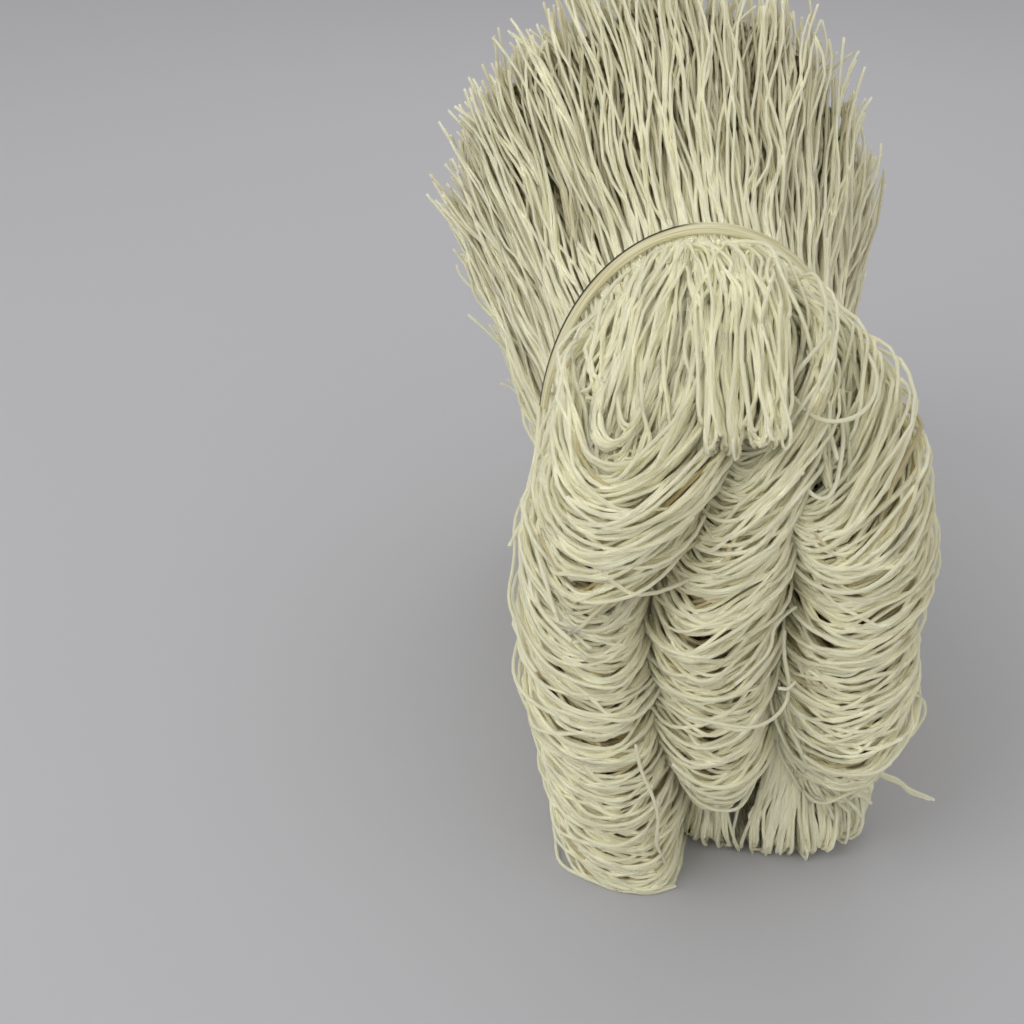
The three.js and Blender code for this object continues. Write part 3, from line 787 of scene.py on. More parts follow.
# Guides for loose noodles: how many follow it, how far they part, which ends are cut (start, end),
# and points along it.
loose = {
    "seed": 71, "stations": 11, "wobble": 0.09, "samples": 30, "up": (0.1, 0.5, 1.0),
    "guides": [
        # in and over the gap between the middle and right hanks
        (1, 0.0, (1, 1), [(17, -98, 86), (11, -105, 84), (9, -109, 79), (1, -114, 74)]),
        (1, 0.0, (1, 1), [
            (14, -101, 80), (16, -104, 68), (15, -107, 63), (11, -111, 61), (1, -114, 62),
            (-9, -110, 61),
        ]),
        (1, 0.0, (1, 1), [(13, -107, 68), (15, -108, 68.5), (17, -106, 69)]),
        # low on the right
        (1, 0.0, (0, 0), [
            (45, -95, 58), (52, -90, 54), (56, -87, 49), (56, -87, 43), (53, -89, 39),
            (46, -94, 39),
        ]),
        (16, 2.6, (0, 1), [
            (17, -88, 62), (19, -95, 51), (24, -97.5, 40), (32, -95, 30), (40, -90, 21),
        ]),
        (9, 2.4, (0, 1), [
            (17, -88, 52), (20, -94, 40), (26, -94, 28), (32, -91, 18), (36, -88, 9),
        ]),
        (2, 1.0, (1, 1), [(40, -94, 31), (46, -89, 27), (54, -86, 20), (64, -82, 12)]),
        # down the left hank's front, and along its side
        (1, 0.0, (1, 0), [
            (-21, -110.5, 54), (-19, -111, 42), (-15, -110, 30), (-14, -107.5, 18), (-11, -103, 8),
        ]),
        (1, 0.0, (1, 0), [
            (-52, -82, 94), (-48, -72, 98), (-43, -60, 101), (-41, -46, 104), (-40, -30, 106),
        ]),
        # the arc on the right, and the small loop and its bunch below it
        (1, 0.0, (0, 0), [
            (6.5, -75, 149.5), (9.5, -86.5, 142), (18, -94.5, 133.8), (28, -93, 134.8),
            (34, -82, 139.3), (34, -66, 140),
        ]),
        (1, 0.0, (0, 0), [
            (16, -92, 124), (16, -98, 119.5), (19, -101, 117), (23, -100, 119), (25, -94, 124),
            (26, -86, 130),
        ]),
        (8, 1.6, (0, 0), [
            (20, -70, 141), (20.5, -84, 131), (21.5, -93, 121), (24, -96, 113), (27, -95, 113),
            (28, -88, 122), (28, -76, 134),
        ]),
        # the loops over the curtain: down from the tie to the left, round, and back up
        (9, 1.1, (0, 0), [
            (-4, -26, 152), (-6.4, -48, 153), (-8.7, -61, 149.5), (-11.4, -73, 145),
            (-19, -89, 136), (-26.4, -97, 129.5), (-30.5, -99, 127.5), (-33.8, -92, 133.5),
            (-31, -82, 139.5), (-22.4, -68, 147), (-17.5, -54, 152), (-14, -28, 152),
        ]),
        (3, 0.8, (0, 0), [
            (-20, -67, 146), (-26, -82, 140), (-27, -92, 134), (-24.5, -95, 132), (-21, -90, 136),
            (-17, -77, 142),
        ]),
        # round the upper roll's left side
        (5, 2.6, (0, 0), [
            (-42, -24, 96), (-44, -42, 95), (-47, -65, 93), (-49, -82, 88), (-47, -96, 81),
            (-40, -106, 76),
        ]),
        (5, 2.6, (0, 0), [
            (-41, -24, 104), (-43, -50, 101), (-45, -72, 98), (-46, -88, 93), (-44, -101, 88),
            (-36, -108, 84),
        ]),
        (2, 2.0, (0, 1), [(-43, -60, 100), (-46, -84, 102), (-44, -100, 99), (-41, -108, 91)]),
    ],
}


# Each noodle follows its guide, moved by one random step at the start that passes evenly into
# another at the end.
def makeLoose():
    rng = np.random.default_rng(loose["seed"])
    sets = []
    share = np.linspace(0, 1, loose["stations"])
    later = share[:, None]
    for count, parting, (cutStart, cutEnd), points in loose["guides"]:
        shift = rng.normal(0, parting, (count, 2, 1, 3))
        controls = glide(points, share) + shift[:, 0] * (1 - later) + shift[:, 1] * later
        paths = smoothPaths(wobble(controls, rng, loose["wobble"]), loose["samples"])
        sets.append(tubes(paths, np.array(loose["up"]), rng, cutStart=cutStart, cutEnd=cutEnd))
    return joinSets("looseNoodles", sets)


pieces["looseNoodles"] = makeLoose()

# The fan's noodles as layers of (size, number), how they drift from their place on the way back,
# and the dome of their tips: how far it lies inside the back plane, in the middle and at the rim.
# inner: how much painted shade, a browner colour, a layer gets for lying further inside
fanSides = {
    "seed": 21, "layers": [(1.0, 350), (0.972, 340)], "inner": (0.0, 0.15), "stations": 8,
    "samples": 18, "wobble": 0.06,
}
fanInside = {
    "seed": 22, "waveSeed": 6, "layers": [(0.95, 330), (0.925, 310)], "inner": 0.45,
    "stations": 7, "samples": 13, "wobble": 0.07,
    "ends": 1850, "endSize": 0.9, "endLength": 34.0, "endStations": 5, "endSamples": 5,
    "endWobble": 0.1, "endTurn": 0.05, "endSizeDrift": 0.03, "endTurnDrift": 0.05,
}
fanRun = {
    "start": neck["y"] - 9.0, "sizeRange": (-0.012, 0.008), "sizeDrift": 0.045,
    "driftRange": (-0.1, 0.08), "turnDrift": 0.16, "sway": 1.3, "wave": 50.0,
    "apart": 15.0, "amount": 0.12, "grain": (1.0, 0.15, 1.0), "dip": 0.08, "dipBefore": 2,
    "dipLength": 8, "openedMost": 1.2,
}
fanTipLine = {"middle": 3.0, "curve": 12.0, "ragged": 5.0, "furthest": 2.0}
fanUp = np.array([0.3, 0.0, 1.0])


# Control points of noodles behind the tie: at a share of the fan's size and a turn round it, both
# of which drift on the way to the end. Nearer than the tie they dip under it.
def fanControls(size, turn, sizeDrift, turnDrift, startY, endY, stations):
    t = np.linspace(0, 1, stations)
    y = startY[:, None] + (endY - startY)[:, None] * t
    opened = np.clip((y - neck["y"]) / (fan["y"] - neck["y"]), 0, fanRun["openedMost"])
    before = neck["y"] + fanRun["dipBefore"] - y
    dip = 1 - fanRun["dip"] * smoothStep(before, 0, fanRun["dipLength"])
    size = (size[:, None] + sizeDrift[:, None] * opened) * dip
    return fanPoints(y, turn[:, None] + turnDrift[:, None] * opened, size)


# The ends form a shallow dome, a parabola over the fan's size, and are ragged.
def fanTips(size, rng):
    dome = backPlane - fanTipLine["middle"] - fanTipLine["curve"] * size**2
    tips = dome + rng.normal(0, fanTipLine["ragged"], len(size))
    return np.minimum(tips, backPlane + fanTipLine["furthest"])


# Wobbles and sways the fan's noodles and draws them into bunches, before the sheaf settles.
def fanWaves(controls, rng, share, seed=settled["seed"]):
    swayed = sway(wobble(controls, rng, share), rng, fanRun["sway"], fanRun["wave"])
    return settle(gather(swayed, fanRun["apart"], fanRun["amount"], fanRun["grain"], seed))


# Layers of noodles, evenly spaced round the fan.
def fanLayers(layers, rng, stations):
    controls = []
    for size, count in layers:
        turn = (np.arange(count) + rng.uniform(-0.5, 0.5, count)) * 2 * math.pi / count
        sizes = size + rng.uniform(*fanRun["sizeRange"], count)
        start = np.full(count, fanRun["start"])
        sizeDrift = np.clip(rng.normal(0, fanRun["sizeDrift"], count), *fanRun["driftRange"])
        turnDrift = rng.normal(0, fanRun["turnDrift"], count)
        tips = fanTips(sizes, rng)
        controls.append(fanControls(sizes, turn, sizeDrift, turnDrift, start, tips, stations))
    return np.concatenate(controls)


# The two outermost layers, the second of them with a little painted shade, a browner colour.
def makeFanSides():
    rng = np.random.default_rng(fanSides["seed"])
    controls = fanLayers(fanSides["layers"], rng, fanSides["stations"])
    controls = fanWaves(controls, rng, fanSides["wobble"])
    inner = np.repeat(fanSides["inner"], [count for _, count in fanSides["layers"]])
    paths = smoothPaths(controls, fanSides["samples"])
    return joinSets("fanSides", [tubes(paths, fanUp, rng, cutEnd=1.0, inner=inner)])


# Two more layers, and the cut ends inside them, spaced like the seeds of a sunflower: each turns on
# by the golden angle, and its size goes with the square root of its number.
def makeFanInside():
    rng = np.random.default_rng(fanInside["seed"])
    under = fanLayers(fanInside["layers"], rng, fanInside["stations"])
    under = fanWaves(under, rng, fanInside["wobble"], fanInside["waveSeed"])
    count = fanInside["ends"]
    size = np.sqrt((np.arange(count) + 0.5) / count) * fanInside["endSize"]
    turn = np.arange(count) * math.pi * (3 - math.sqrt(5))
    turn = turn + rng.normal(0, fanInside["endTurn"], count)
    end = fanTips(size, rng)
    start = end - fanInside["endLength"]
    sizeDrift = rng.normal(0, fanInside["endSizeDrift"], count)
    turnDrift = rng.normal(0, fanInside["endTurnDrift"], count)
    ends = fanControls(size, turn, sizeDrift, turnDrift, start, end, fanInside["endStations"])
    ends = fanWaves(ends, rng, fanInside["endWobble"], fanInside["waveSeed"])
    sets = [
        tubes(
            smoothPaths(under, fanInside["samples"]), fanUp, rng, cutEnd=1.0,
            inner=fanInside["inner"],
        ),
        tubes(smoothPaths(ends, fanInside["endSamples"]), fanUp, rng, cutEnd=1.0),
    ]
    return joinSets("fanInside", sets)


pieces["fanSides"] = makeFanSides()
pieces["fanInside"] = makeFanInside()

# the mass further in: how far it lies inside the outermost noodles, and its fine ridges
core = {
    "seed": 31, "inset": 4.4, "ridge": 0.5, "ridgePitch": 1.7, "ridges": 110, "columns": 280,
    "lines": 64, "back": fan["y"] - 14, "front": frontPlane + 32, "blend": 52.0, "ragged": 3.0,
    "blockHalfWidth": 44.0, "blockHalfHeight": 64.0, "blockZ": 74.0, "offFloor": 1.0,
    "hankLines": 110, "hankColumns": 32, "hankDrop": 3.0, "hankOffFloor": 0.8,
    "ridgeWander": 2, "wanderLength": 17, "wanderTurns": 5, "raggedLength": 16,
    "capSteepness": 8, "leastCap": 0.02,
}


# The fan, the neck and the block as one lofted skin with lengthwise ridges. Its sections are ovals
# behind the tie and turn into rounded squares, |x / a| to the power p + |z / b| to the power p = 1,
# where p goes from 2 to 3.
def bodySkin():
    rng = np.random.default_rng(core["seed"])
    turn = np.arange(core["columns"]) * 2 * math.pi / core["columns"]
    y = np.linspace(core["back"], core["front"], core["lines"])[:, None]
    ahead = smoothStep(neck["y"] - neck["halfLength"] - y, 0, core["blend"])
    x, z, halfWidth, above, below, flare = fanSection(y)
    across, upward = -np.cos(turn), np.sin(turn)
    halfHeight = np.where(upward > 0, above, below)
    x = x + (block["x"] - x) * ahead
    z = z + (core["blockZ"] - z) * ahead
    halfWidth = halfWidth + (core["blockHalfWidth"] - halfWidth) * ahead
    halfHeight = halfHeight + (core["blockHalfHeight"] - halfHeight) * ahead
    power = 2 + ahead
    oval = np.abs(across / halfWidth) ** power + np.abs(upward / halfHeight) ** power
    wander = core["ridgeWander"] * np.sin(y / core["wanderLength"] + turn * core["wanderTurns"])
    ridges = core["ridge"] * np.sin(turn * core["ridges"] + wander)
    reach = oval ** (-1 / power) - core["inset"] + ridges
    sideways = drawnIn(across * reach, np.clip(-upward * reach / halfHeight, 0, 1), flare)
    grid = np.stack([x + sideways, np.broadcast_to(y, reach.shape), z + upward * reach], -1)
    uneven = core["ragged"] * rng.normal(size=core["columns"])
    raggedFrom = core["back"] - core["raggedLength"]
    grid[..., 1] += uneven * smoothStep(grid[..., 1], raggedFrom, core["back"])
    grid = settle(grid)
    grid[..., 2] = np.maximum(grid[..., 2], core["offFloor"])
    front, back = grid[-1].mean(0) - [0, 2, 0], grid[0].mean(0)
    return skin(grid[::-1, ::-1], front, back)


# A hank's inside: a stack of ellipses with ridges across, which closes at both ends like a ball,
# with the square root of 1 - e e.
def hankSkin(hank):
    share = np.linspace(0.0, 1.0, core["hankLines"])
    x, halfWidth, height, back, droop, depth, shift, tilt = readRows(hank["rows"], share)
    turn = np.arange(core["hankColumns"]) * 2 * math.pi / core["hankColumns"]
    steep = core["capSteepness"]
    fromEnd = np.clip(np.abs(2 * share - 1) * steep - (steep - 1), 0, 1)
    closing = np.maximum(np.sqrt(1 - fromEnd**2), core["leastCap"])[:, None]
    pitch = (height[-1, 0] - height[0, 0]) / core["ridgePitch"]
    ridges = core["ridge"] * np.sin(2 * math.pi * share * pitch)[:, None]
    size = (1 - (core["inset"] - ridges) / halfWidth) * closing
    front = np.maximum(0, np.sin(turn))
    across = x - np.cos(turn) * halfWidth * size + shift * front**2
    forward = frontPlane + back + depth - np.sin(turn) * depth * size
    upward = height - core["hankDrop"] - tilt * np.cos(turn) * size - droop * front**1.4
    grid = settle(np.stack([across, forward, upward], -1))
    grid[..., 2] = np.maximum(grid[..., 2], core["hankOffFloor"])
    return skin(grid, grid[0].mean(0), grid[-1].mean(0))


skins = [bodySkin()] + [hankSkin(hank) for hank in hanks.values()]
pieces["noodleCore"] = joinSets("noodleCore", skins)

# The band leans back by `tilt` degrees. Dark skin is left on its rear edge between two turns, in
# radians from the right, and the twisted ends stand out at knotTurn.
tie = {
    "width": 4.0, "thickness": 1.1, "turns": 240, "tilt": 28.0, "wander": 0.3, "uneven": 0.06,
    "skinFrom": 1.55, "skinTo": 3.8, "skinFade": (0.25, 0.3), "skinEdge": (0.44, 0.52),
    "knotTurn": -0.5, "knotLength": 15.0, "knotOut": 1.6, "knotFlare": 2.5, "twists": 1.5,
    "knotStations": 42, "halfWidth": 1.3, "halfThickness": 0.75, "narrower": 0.95, "thinner": 0.8,
    "ribHeight": 0.82, "ribDepth": 0.18, "ribs": 3, "edgeSteepness": 9, "outerPoints": 21,
    "innerPoints": 5, "corner": 0.94, "bevel": 0.7,
}


# A strip: at each place along it, a flat section with ribs on its outer face: across it the height
# is a middle + a depth times cos(ribs pi a). `across` and `out` are its two directions there. Each
# point stores its distance along the strip, its place across it, and how dark the skin left on the
# rear edge is.
def strip(path, across, out, halfWidth, halfThickness, closed, dark):
    outer = np.sin(np.linspace(math.pi / 2, -math.pi / 2, tie["outerPoints"]))
    inner = np.linspace(-tie["corner"], tie["corner"], tie["innerPoints"])
    square = np.concatenate([outer, inner])
    ribs = tie["ribHeight"] + tie["ribDepth"] * np.cos(tie["ribs"] * math.pi * outer)
    ribs = ribs * np.minimum(1, (1 - np.abs(outer)) * tie["edgeSteepness"])
    underside = np.full(tie["innerPoints"], -1.0)
    underside[[0, -1]] = -tie["bevel"]
    flat = np.concatenate([ribs, underside])
    place = square[None] * halfWidth[:, None]
    shape = (
        path[:, None] + place[..., None] * across[:, None]
        + (flat * halfThickness)[:, None] * out[:, None]
    )
    skinShade = dark[:, None] * smoothStep(square, *tie["skinEdge"])[None]
    length = np.broadcast_to(distances(path)[:, None] * mm, place.shape)
    stored = {"skinShade": skinShade, "stripLength": length, "stripAcross": place * mm}
    index = np.arange(place.size).reshape(place.shape)
    here, there = (index, np.roll(index, -1, 0)) if closed else (index[:-1], index[1:])
    caps = [] if closed else [np.stack([index[0, ::-1], index[-1]])]
    return shape.reshape(-1, 3), [roundWalls(here, there)] + caps, stored


# The band round the neck, and two strips twisted round each other: each goes round their common
# line by cos and sin of the same angle.
def makeTie():
    halfThickness = tie["thickness"] / 2
    reachX, reachZ = (tieOval[key] - halfThickness for key in ("halfWidth", "halfHeight"))
    turn = np.arange(tie["turns"]) * 2 * math.pi / tie["turns"]
    cosine, sine, level = np.cos(turn), np.sin(turn), np.zeros(len(turn))
    y = neck["y"] + tie["wander"] * np.sin(turn * 3 + 1)
    path = np.stack([neck["x"] + cosine * reachX, y, neck["z"] + sine * reachZ], -1)
    outward = unit(np.stack([cosine / reachX, level, sine / reachZ], -1))
    rearward = np.array([0.0, 1.0, 0.0])
    tilt = math.radians(tie["tilt"])
    out = outward * math.cos(tilt) - rearward * math.sin(tilt)
    across = outward * math.sin(tilt) + rearward * math.cos(tilt)
    width = tie["width"] / 2 * (1 + tie["uneven"] * np.sin(turn * 5 + 2))
    fadeIn, fadeOut = tie["skinFade"]
    dark = smoothStep(turn, tie["skinFrom"], tie["skinFrom"] + fadeIn)
    dark = dark * (1 - smoothStep(turn, tie["skinTo"] - fadeOut, tie["skinTo"]))
    sets = [strip(path, across, out, width, halfThickness, True, dark)]

    sine, cosine = math.sin(tie["knotTurn"]), math.cos(tie["knotTurn"])
    middle = np.array([neck["x"] + cosine * reachX, neck["y"], neck["z"] + sine * reachZ])
    alongBand = unit(np.array([-sine * reachX, 0, cosine * reachZ]))
    outward = np.array([alongBand[2], 0, -alongBand[0]])
    place = np.linspace(0, 1, tie["knotStations"])
    for phase in (0.0, math.pi):
        angle = phase + place * tie["twists"] * 2 * math.pi
        flare = tie["knotFlare"] * np.clip(place * 10 - 9, 0, 1) ** 2
        lift = tie["knotOut"] + np.cos(angle) * tie["halfThickness"] + flare
        path = middle + ((place - 0.5) * tie["knotLength"])[:, None] * alongBand
        path = path + lift[:, None] * outward
        path = path + (np.sin(angle) * tie["halfWidth"])[:, None] * rearward
        along = unit(np.gradient(path, axis=0))
        radial = np.cos(angle)[:, None] * outward + np.sin(angle)[:, None] * rearward
        across = unit(np.cross(unit(radial), along))
        width = np.full(len(place), tie["halfWidth"] * tie["narrower"])
        dark = np.ones(len(place))
        out = np.cross(along, across)
        thickness = tie["halfThickness"] * tie["thinner"]
        sets.append(strip(path, across, out, width, thickness, False, dark))
    return joinSets("bambooTie", sets)


tiePiece = makeTie()


# Links the inputs that are given as sockets, and sets the others to their values.
def feed(tree, node, inputs):
    for key, value in inputs.items():
        if isinstance(value, bpy.types.NodeSocket):
            tree.links.new(value, node.inputs[key])
        else:
            node.inputs[key].default_value = value


# A new node with its settings and inputs.
def addNode(tree, kind, inputs=None, **settings):
    made = tree.nodes.new(kind)
    for key, value in settings.items():
        setattr(made, key, value)
    feed(tree, made, inputs or {})
    return made


# A number that the mesh stores at its points.
def attribute(tree, name):
    return addNode(tree, "ShaderNodeAttribute", attribute_name=name).outputs["Fac"]


# One step of arithmetic. MULTIPLY_ADD is the first times the second, plus the third.
def calculate(tree, operation, *values):
    return addNode(tree, "ShaderNodeMath", dict(enumerate(values)), operation=operation).outputs[0]


# From the first colour at 0 to the second at 1.
def mixColours(tree, factor, first, second):
    inputs = {"Factor": factor, "A": first, "B": second}
    return addNode(tree, "ShaderNodeMix", inputs, data_type="RGBA").outputs["Result"]


# soft noise, from 0 to 1
def noise(tree, vector, scale, detail):
    inputs = {"Vector": vector, "Scale": scale, "Detail": detail}
    return addNode(tree, "ShaderNodeTexNoise", inputs).outputs["Fac"]


# a normal tilted by the slope of a height
def bump(tree, height, strength, distance):
    inputs = {"Height": height, "Strength": strength, "Distance": distance}
    return addNode(tree, "ShaderNodeBump", inputs).outputs["Normal"]


# Linear light from a colour as a screen shows it.
def colour(*shown):
    linear = [c / 12.92 if c <= 0.04045 else ((c + 0.055) / 1.055) ** 2.4 for c in shown]
    return (*linear, 1.0)


# A node group: "Vector" is a vector input, and all its other sockets are numbers.
def newGroup(name, inputs, outputs):
    tree = bpy.data.node_groups.new(name, "ShaderNodeTree")
    for label in inputs:
        kind = "NodeSocketVector" if label == "Vector" else "NodeSocketFloat"
        tree.interface.new_socket(label, in_out="INPUT", socket_type=kind)
    for label in outputs:
        tree.interface.new_socket(label, in_out="OUTPUT", socket_type="NodeSocketFloat")
    return tree, addNode(tree, "NodeGroupInput").outputs


# The outputs of a group that is put into a tree.
def useGroup(tree, group, inputs):
    return addNode(tree, "ShaderNodeGroup", inputs, node_tree=group).outputs


# Uneven starch: soft clouds for the colour, and a fine grain for the bump and the gloss.
def makeStarch(cloudScale=55.0, grainScale=900.0):
    tree, start = newGroup("unevenStarch", ["Vector"], ["Clouds", "Grain"])
    clouds = noise(tree, start["Vector"], cloudScale, 2.0)
    grain = noise(tree, start["Vector"], grainScale, 1.0)
    addNode(tree, "NodeGroupOutput", {"Clouds": clouds, "Grain": grain})
    return tree


# Streaks that run with a length: a noise squeezed across and drawn out along.
def makeStreaks():
    tree, start = newGroup("lengthwiseStreaks", ["Along", "Across"], ["Streaks"])
    place = addNode(tree, "ShaderNodeCombineXYZ", {0: start["Along"], 1: start["Across"]})
    addNode(tree, "NodeGroupOutput", {"Streaks": noise(tree, place.outputs[0], 1.0, 2.0)})
    return tree


# Packed noodles: cells of about their thickness, drawn out along the sheaf. Cut across they are
# round ends, and along the sheaf they are lines. The output is 1 in the middle and 0 between them.
def makePacked(cells=(720.0, 18.0, 720.0)):
    tree, start = newGroup("packedNoodles", ["Vector"], ["Packed"])
    inputs = {0: start["Vector"], 1: cells}
    drawn = addNode(tree, "ShaderNodeVectorMath", inputs, operation="MULTIPLY").outputs[0]
    away = addNode(tree, "ShaderNodeTexVoronoi", {"Vector": drawn, "Scale": 1.0})
    middle = calculate(tree, "MULTIPLY_ADD", away.outputs["Distance"], -2.6, 1.75)
    inside = calculate(tree, "MINIMUM", calculate(tree, "MAXIMUM", middle, 0.0), 1.0)
    addNode(tree, "NodeGroupOutput", {"Packed": inside})
    return tree


starch, streaks, packed = makeStarch(), makeStreaks(), makePacked()


# A material with its tree and shader.
def newMaterial(name):
    material = bpy.data.materials.new(name)
    material.use_nodes = True
    return material, material.node_tree, material.node_tree.nodes["Principled BSDF"]


# The place on the object, for patterns that follow it.
def objectPlace(tree):
    return addNode(tree, "ShaderNodeTexCoord").outputs["Object"]


# inner is the colour of the painted shade on noodles inside the sheaf
noodleFinish = {
    "light": colour(0.935, 0.93, 0.84), "dark": colour(0.86, 0.85, 0.725),
    "cut": colour(0.975, 0.965, 0.90), "cutShare": 0.6, "inner": colour(0.69, 0.63, 0.44),
    "streaksAlong": 90.0, "streaksApart": 60.0, "byStrand": 0.42, "byStreak": 0.5, "byCloud": 0.3,
    "roughness": 0.30, "grainRoughness": 0.2, "gloss": 0.25,
    "sheen": 0.35, "sheenRoughness": 0.6, "sheenTint": colour(1.0, 0.97, 0.85),
    "depth": 0.0022, "depthTint": (1.0, 0.97, 0.85), "bump": 0.5, "bumpHeight": 0.00015,
}
# The core's colours are painted shade: darker than the noodles, and between is painted shade in the
# gaps between packed noodle ends.
coreFinish = {
    "light": colour(0.82, 0.80, 0.65), "dark": colour(0.66, 0.63, 0.47),
    "between": colour(0.36, 0.32, 0.19), "roughness": 0.6, "bump": 0.7, "bumpHeight": 0.0004,
}
bambooFinish = {
    "light": colour(0.98, 0.965, 0.81), "dark": colour(0.85, 0.80, 0.60),
    "skin": colour(0.11, 0.07, 0.03), "fibresAlong": 40.0, "fibresApart": 1700.0,
    "fibreContrast": 4.0, "fibreShift": -1.6, "byCloud": 0.4,
    "roughness": 0.42, "bump": 0.5, "bumpHeight": 0.00015,
}


# Dried noodle: each one has its own shade, which changes slowly along it. Its cut end is paler, and
# those inside the sheaf get painted shade, a browner colour for the shade among the noodles there.
def makeNoodleMaterial(finish):
    material, tree, shader = newMaterial("driedRiceNoodle")
    uneven = useGroup(tree, starch, {"Vector": objectPlace(tree)})
    tint, length, cut = (attribute(tree, name) for name in ("strandTint", "runLength", "cutEnd"))
    along = calculate(tree, "MULTIPLY", length, finish["streaksAlong"])
    across = calculate(tree, "MULTIPLY", tint, finish["streaksApart"])
    slow = useGroup(tree, streaks, {"Along": along, "Across": across})["Streaks"]
    slow = calculate(tree, "MULTIPLY", slow, finish["byStreak"])
    shade = calculate(tree, "MULTIPLY_ADD", tint, finish["byStrand"], slow)
    shade = calculate(tree, "MULTIPLY_ADD", uneven["Clouds"], finish["byCloud"], shade)
    body = mixColours(tree, shade, finish["dark"], finish["light"])
    # painted shade: the noodles inside the sheaf are mixed towards the browner inner colour
    body = mixColours(tree, attribute(tree, "paintedShadeInside"), body, finish["inner"])
    paler = calculate(tree, "MULTIPLY", cut, finish["cutShare"])
    rough = calculate(
        tree, "MULTIPLY_ADD", uneven["Grain"], finish["grainRoughness"], finish["roughness"]
    )
    shader.subsurface_method = "BURLEY"
    feed(tree, shader, {
        "Base Color": mixColours(tree, paler, body, finish["cut"]),
        "Roughness": rough,
        "Specular IOR Level": finish["gloss"],
        "Subsurface Weight": 1.0,
        "Subsurface Radius": finish["depthTint"],
        "Subsurface Scale": finish["depth"],
        "Sheen Weight": finish["sheen"],
        "Sheen Roughness": finish["sheenRoughness"],
        "Sheen Tint": finish["sheenTint"],
        "Normal": bump(tree, uneven["Grain"], finish["bump"], finish["bumpHeight"]),
    })
    return material


# The mass further in, painted darker and browner as the shade of the noodles before it, with
# painted shade in the gaps between the packed noodle ends.
def makeCoreMaterial(finish):
    material, tree, shader = newMaterial("paintedShadeNoodles")
    place = objectPlace(tree)
    clouds = useGroup(tree, starch, {"Vector": place})["Clouds"]
    ends = useGroup(tree, packed, {"Vector": place})["Packed"]
    body = mixColours(tree, clouds, finish["dark"], finish["light"])
    feed(tree, shader, {
        # painted shade between the packed noodle ends
        "Base Color": mixColours(tree, ends, finish["between"], body),
        "Roughness": finish["roughness"],
        "Normal": bump(tree, ends, finish["bump"], finish["bumpHeight"]),
    })
    return material


# Split bamboo: pale straw with fine fibres along it, and a line of dark skin left on the rear edge.
def makeBambooMaterial(finish):
    material, tree, shader = newMaterial("splitBamboo")
    clouds = useGroup(tree, starch, {"Vector": objectPlace(tree)})["Clouds"]
    along = calculate(tree, "MULTIPLY", attribute(tree, "stripLength"), finish["fibresAlong"])
    across = calculate(tree, "MULTIPLY", attribute(tree, "stripAcross"), finish["fibresApart"])
    fibres = useGroup(tree, streaks, {"Along": along, "Across": across})["Streaks"]
    contrast, shift = finish["fibreContrast"], finish["fibreShift"]
    sharper = calculate(tree, "MULTIPLY_ADD", fibres, contrast, shift)
    shade = calculate(tree, "MULTIPLY_ADD", clouds, finish["byCloud"], sharper)
    body = mixColours(tree, shade, finish["dark"], finish["light"])
    feed(tree, shader, {
        "Base Color": mixColours(tree, attribute(tree, "skinShade"), body, finish["skin"]),
        "Roughness": finish["roughness"],
        "Normal": bump(tree, fibres, finish["bump"], finish["bumpHeight"]),
    })
    return material


noodleMaterial = makeNoodleMaterial(noodleFinish)
coreMaterial = makeCoreMaterial(coreFinish)
bambooMaterial = makeBambooMaterial(bambooFinish)
print("materials: dried noodle, shaded noodles, split bamboo")

for label, piece in pieces.items():
    piece.data.materials.append(coreMaterial if label == "noodleCore" else noodleMaterial)
    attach(piece, "root")
    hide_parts("noodle_bundle")
tiePiece.data.materials.append(bambooMaterial)
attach(tiePiece, "root")
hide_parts("bamboo_tie")

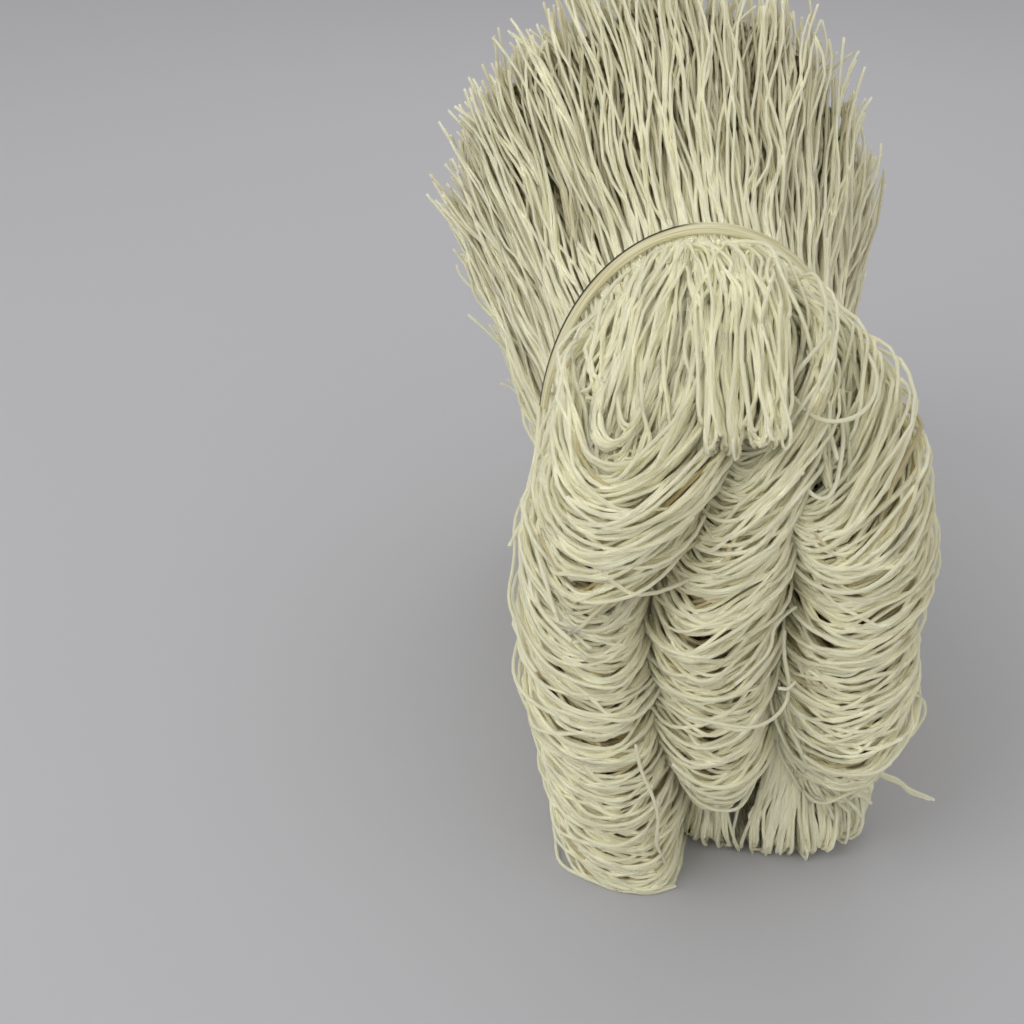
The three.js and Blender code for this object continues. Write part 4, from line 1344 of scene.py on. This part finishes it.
# a light's name, place, aim, size and power; places in metres
studio = {
    "floor": colour(0.80, 0.80, 0.82), "floorRoughness": 0.7, "floorReach": 3,
    "world": (0.89, 0.88, 0.86, 1), "worldStrength": 0.6,
    "lights": [
        ("keyLight", (-0.72, -0.5, 0.88), (0, 0, 0.08), 0.8, 3.45),
        ("fillLight", (0.8, -0.7, 0.5), (0, 0, 0.08), 0.9, 0.25),
        ("backLight", (0.1, 0.8, 0.8), (0, 0, 0.12), 0.6, 0.9),
    ],
    "cameraPlace": (-0.0518, -0.403, 0.281), "cameraTilt": 61.0, "lens": 52.35, "sensor": 36,
}

far = studio["floorReach"]
floorMesh = bpy.data.meshes.new("floor")
floorCorners = [(-far, -far, 0), (far, -far, 0), (far, far, 0), (-far, far, 0)]
floorMesh.from_pydata(floorCorners, [], [(0, 1, 2, 3)])
floor = bpy.data.objects.new("floor", floorMesh)
bpy.context.scene.collection.objects.link(floor)
floorMaterial, floorTree, floorShader = newMaterial("paleFloor")
feed(floorTree, floorShader, {"Base Color": studio["floor"], "Roughness": studio["floorRoughness"]})
floorMesh.materials.append(floorMaterial)

world = bpy.data.worlds.new("studio")
world.use_nodes = True
background = world.node_tree.nodes["Background"]
feed(world.node_tree, background, {"Color": studio["world"], "Strength": studio["worldStrength"]})
bpy.context.scene.world = world


# A soft square light that faces its aim.
def areaLight(name, place, aim, size, power):
    light = bpy.data.lights.new(name, "AREA")
    light.energy, light.size = power, size
    lamp = bpy.data.objects.new(name, light)
    bpy.context.scene.collection.objects.link(lamp)
    x, y, z = np.array(aim) - np.array(place)
    lamp.location = place
    lamp.rotation_euler = (math.atan2(math.hypot(x, y), -z), 0, math.atan2(-x, y))


for settings in studio["lights"]:
    areaLight(*settings)

camera = bpy.data.objects.new("camera", bpy.data.cameras.new("camera"))
camera.location = studio["cameraPlace"]
camera.rotation_euler = (math.radians(studio["cameraTilt"]), 0, 0)
camera.data.sensor_width = studio["sensor"]
camera.data.lens = studio["lens"]
camera.data.clip_start = 0.01
bpy.context.scene.collection.objects.link(camera)
bpy.context.scene.camera = camera
bpy.context.scene.view_settings.view_transform = "Standard"
print("studio: floor, three lights and the camera")
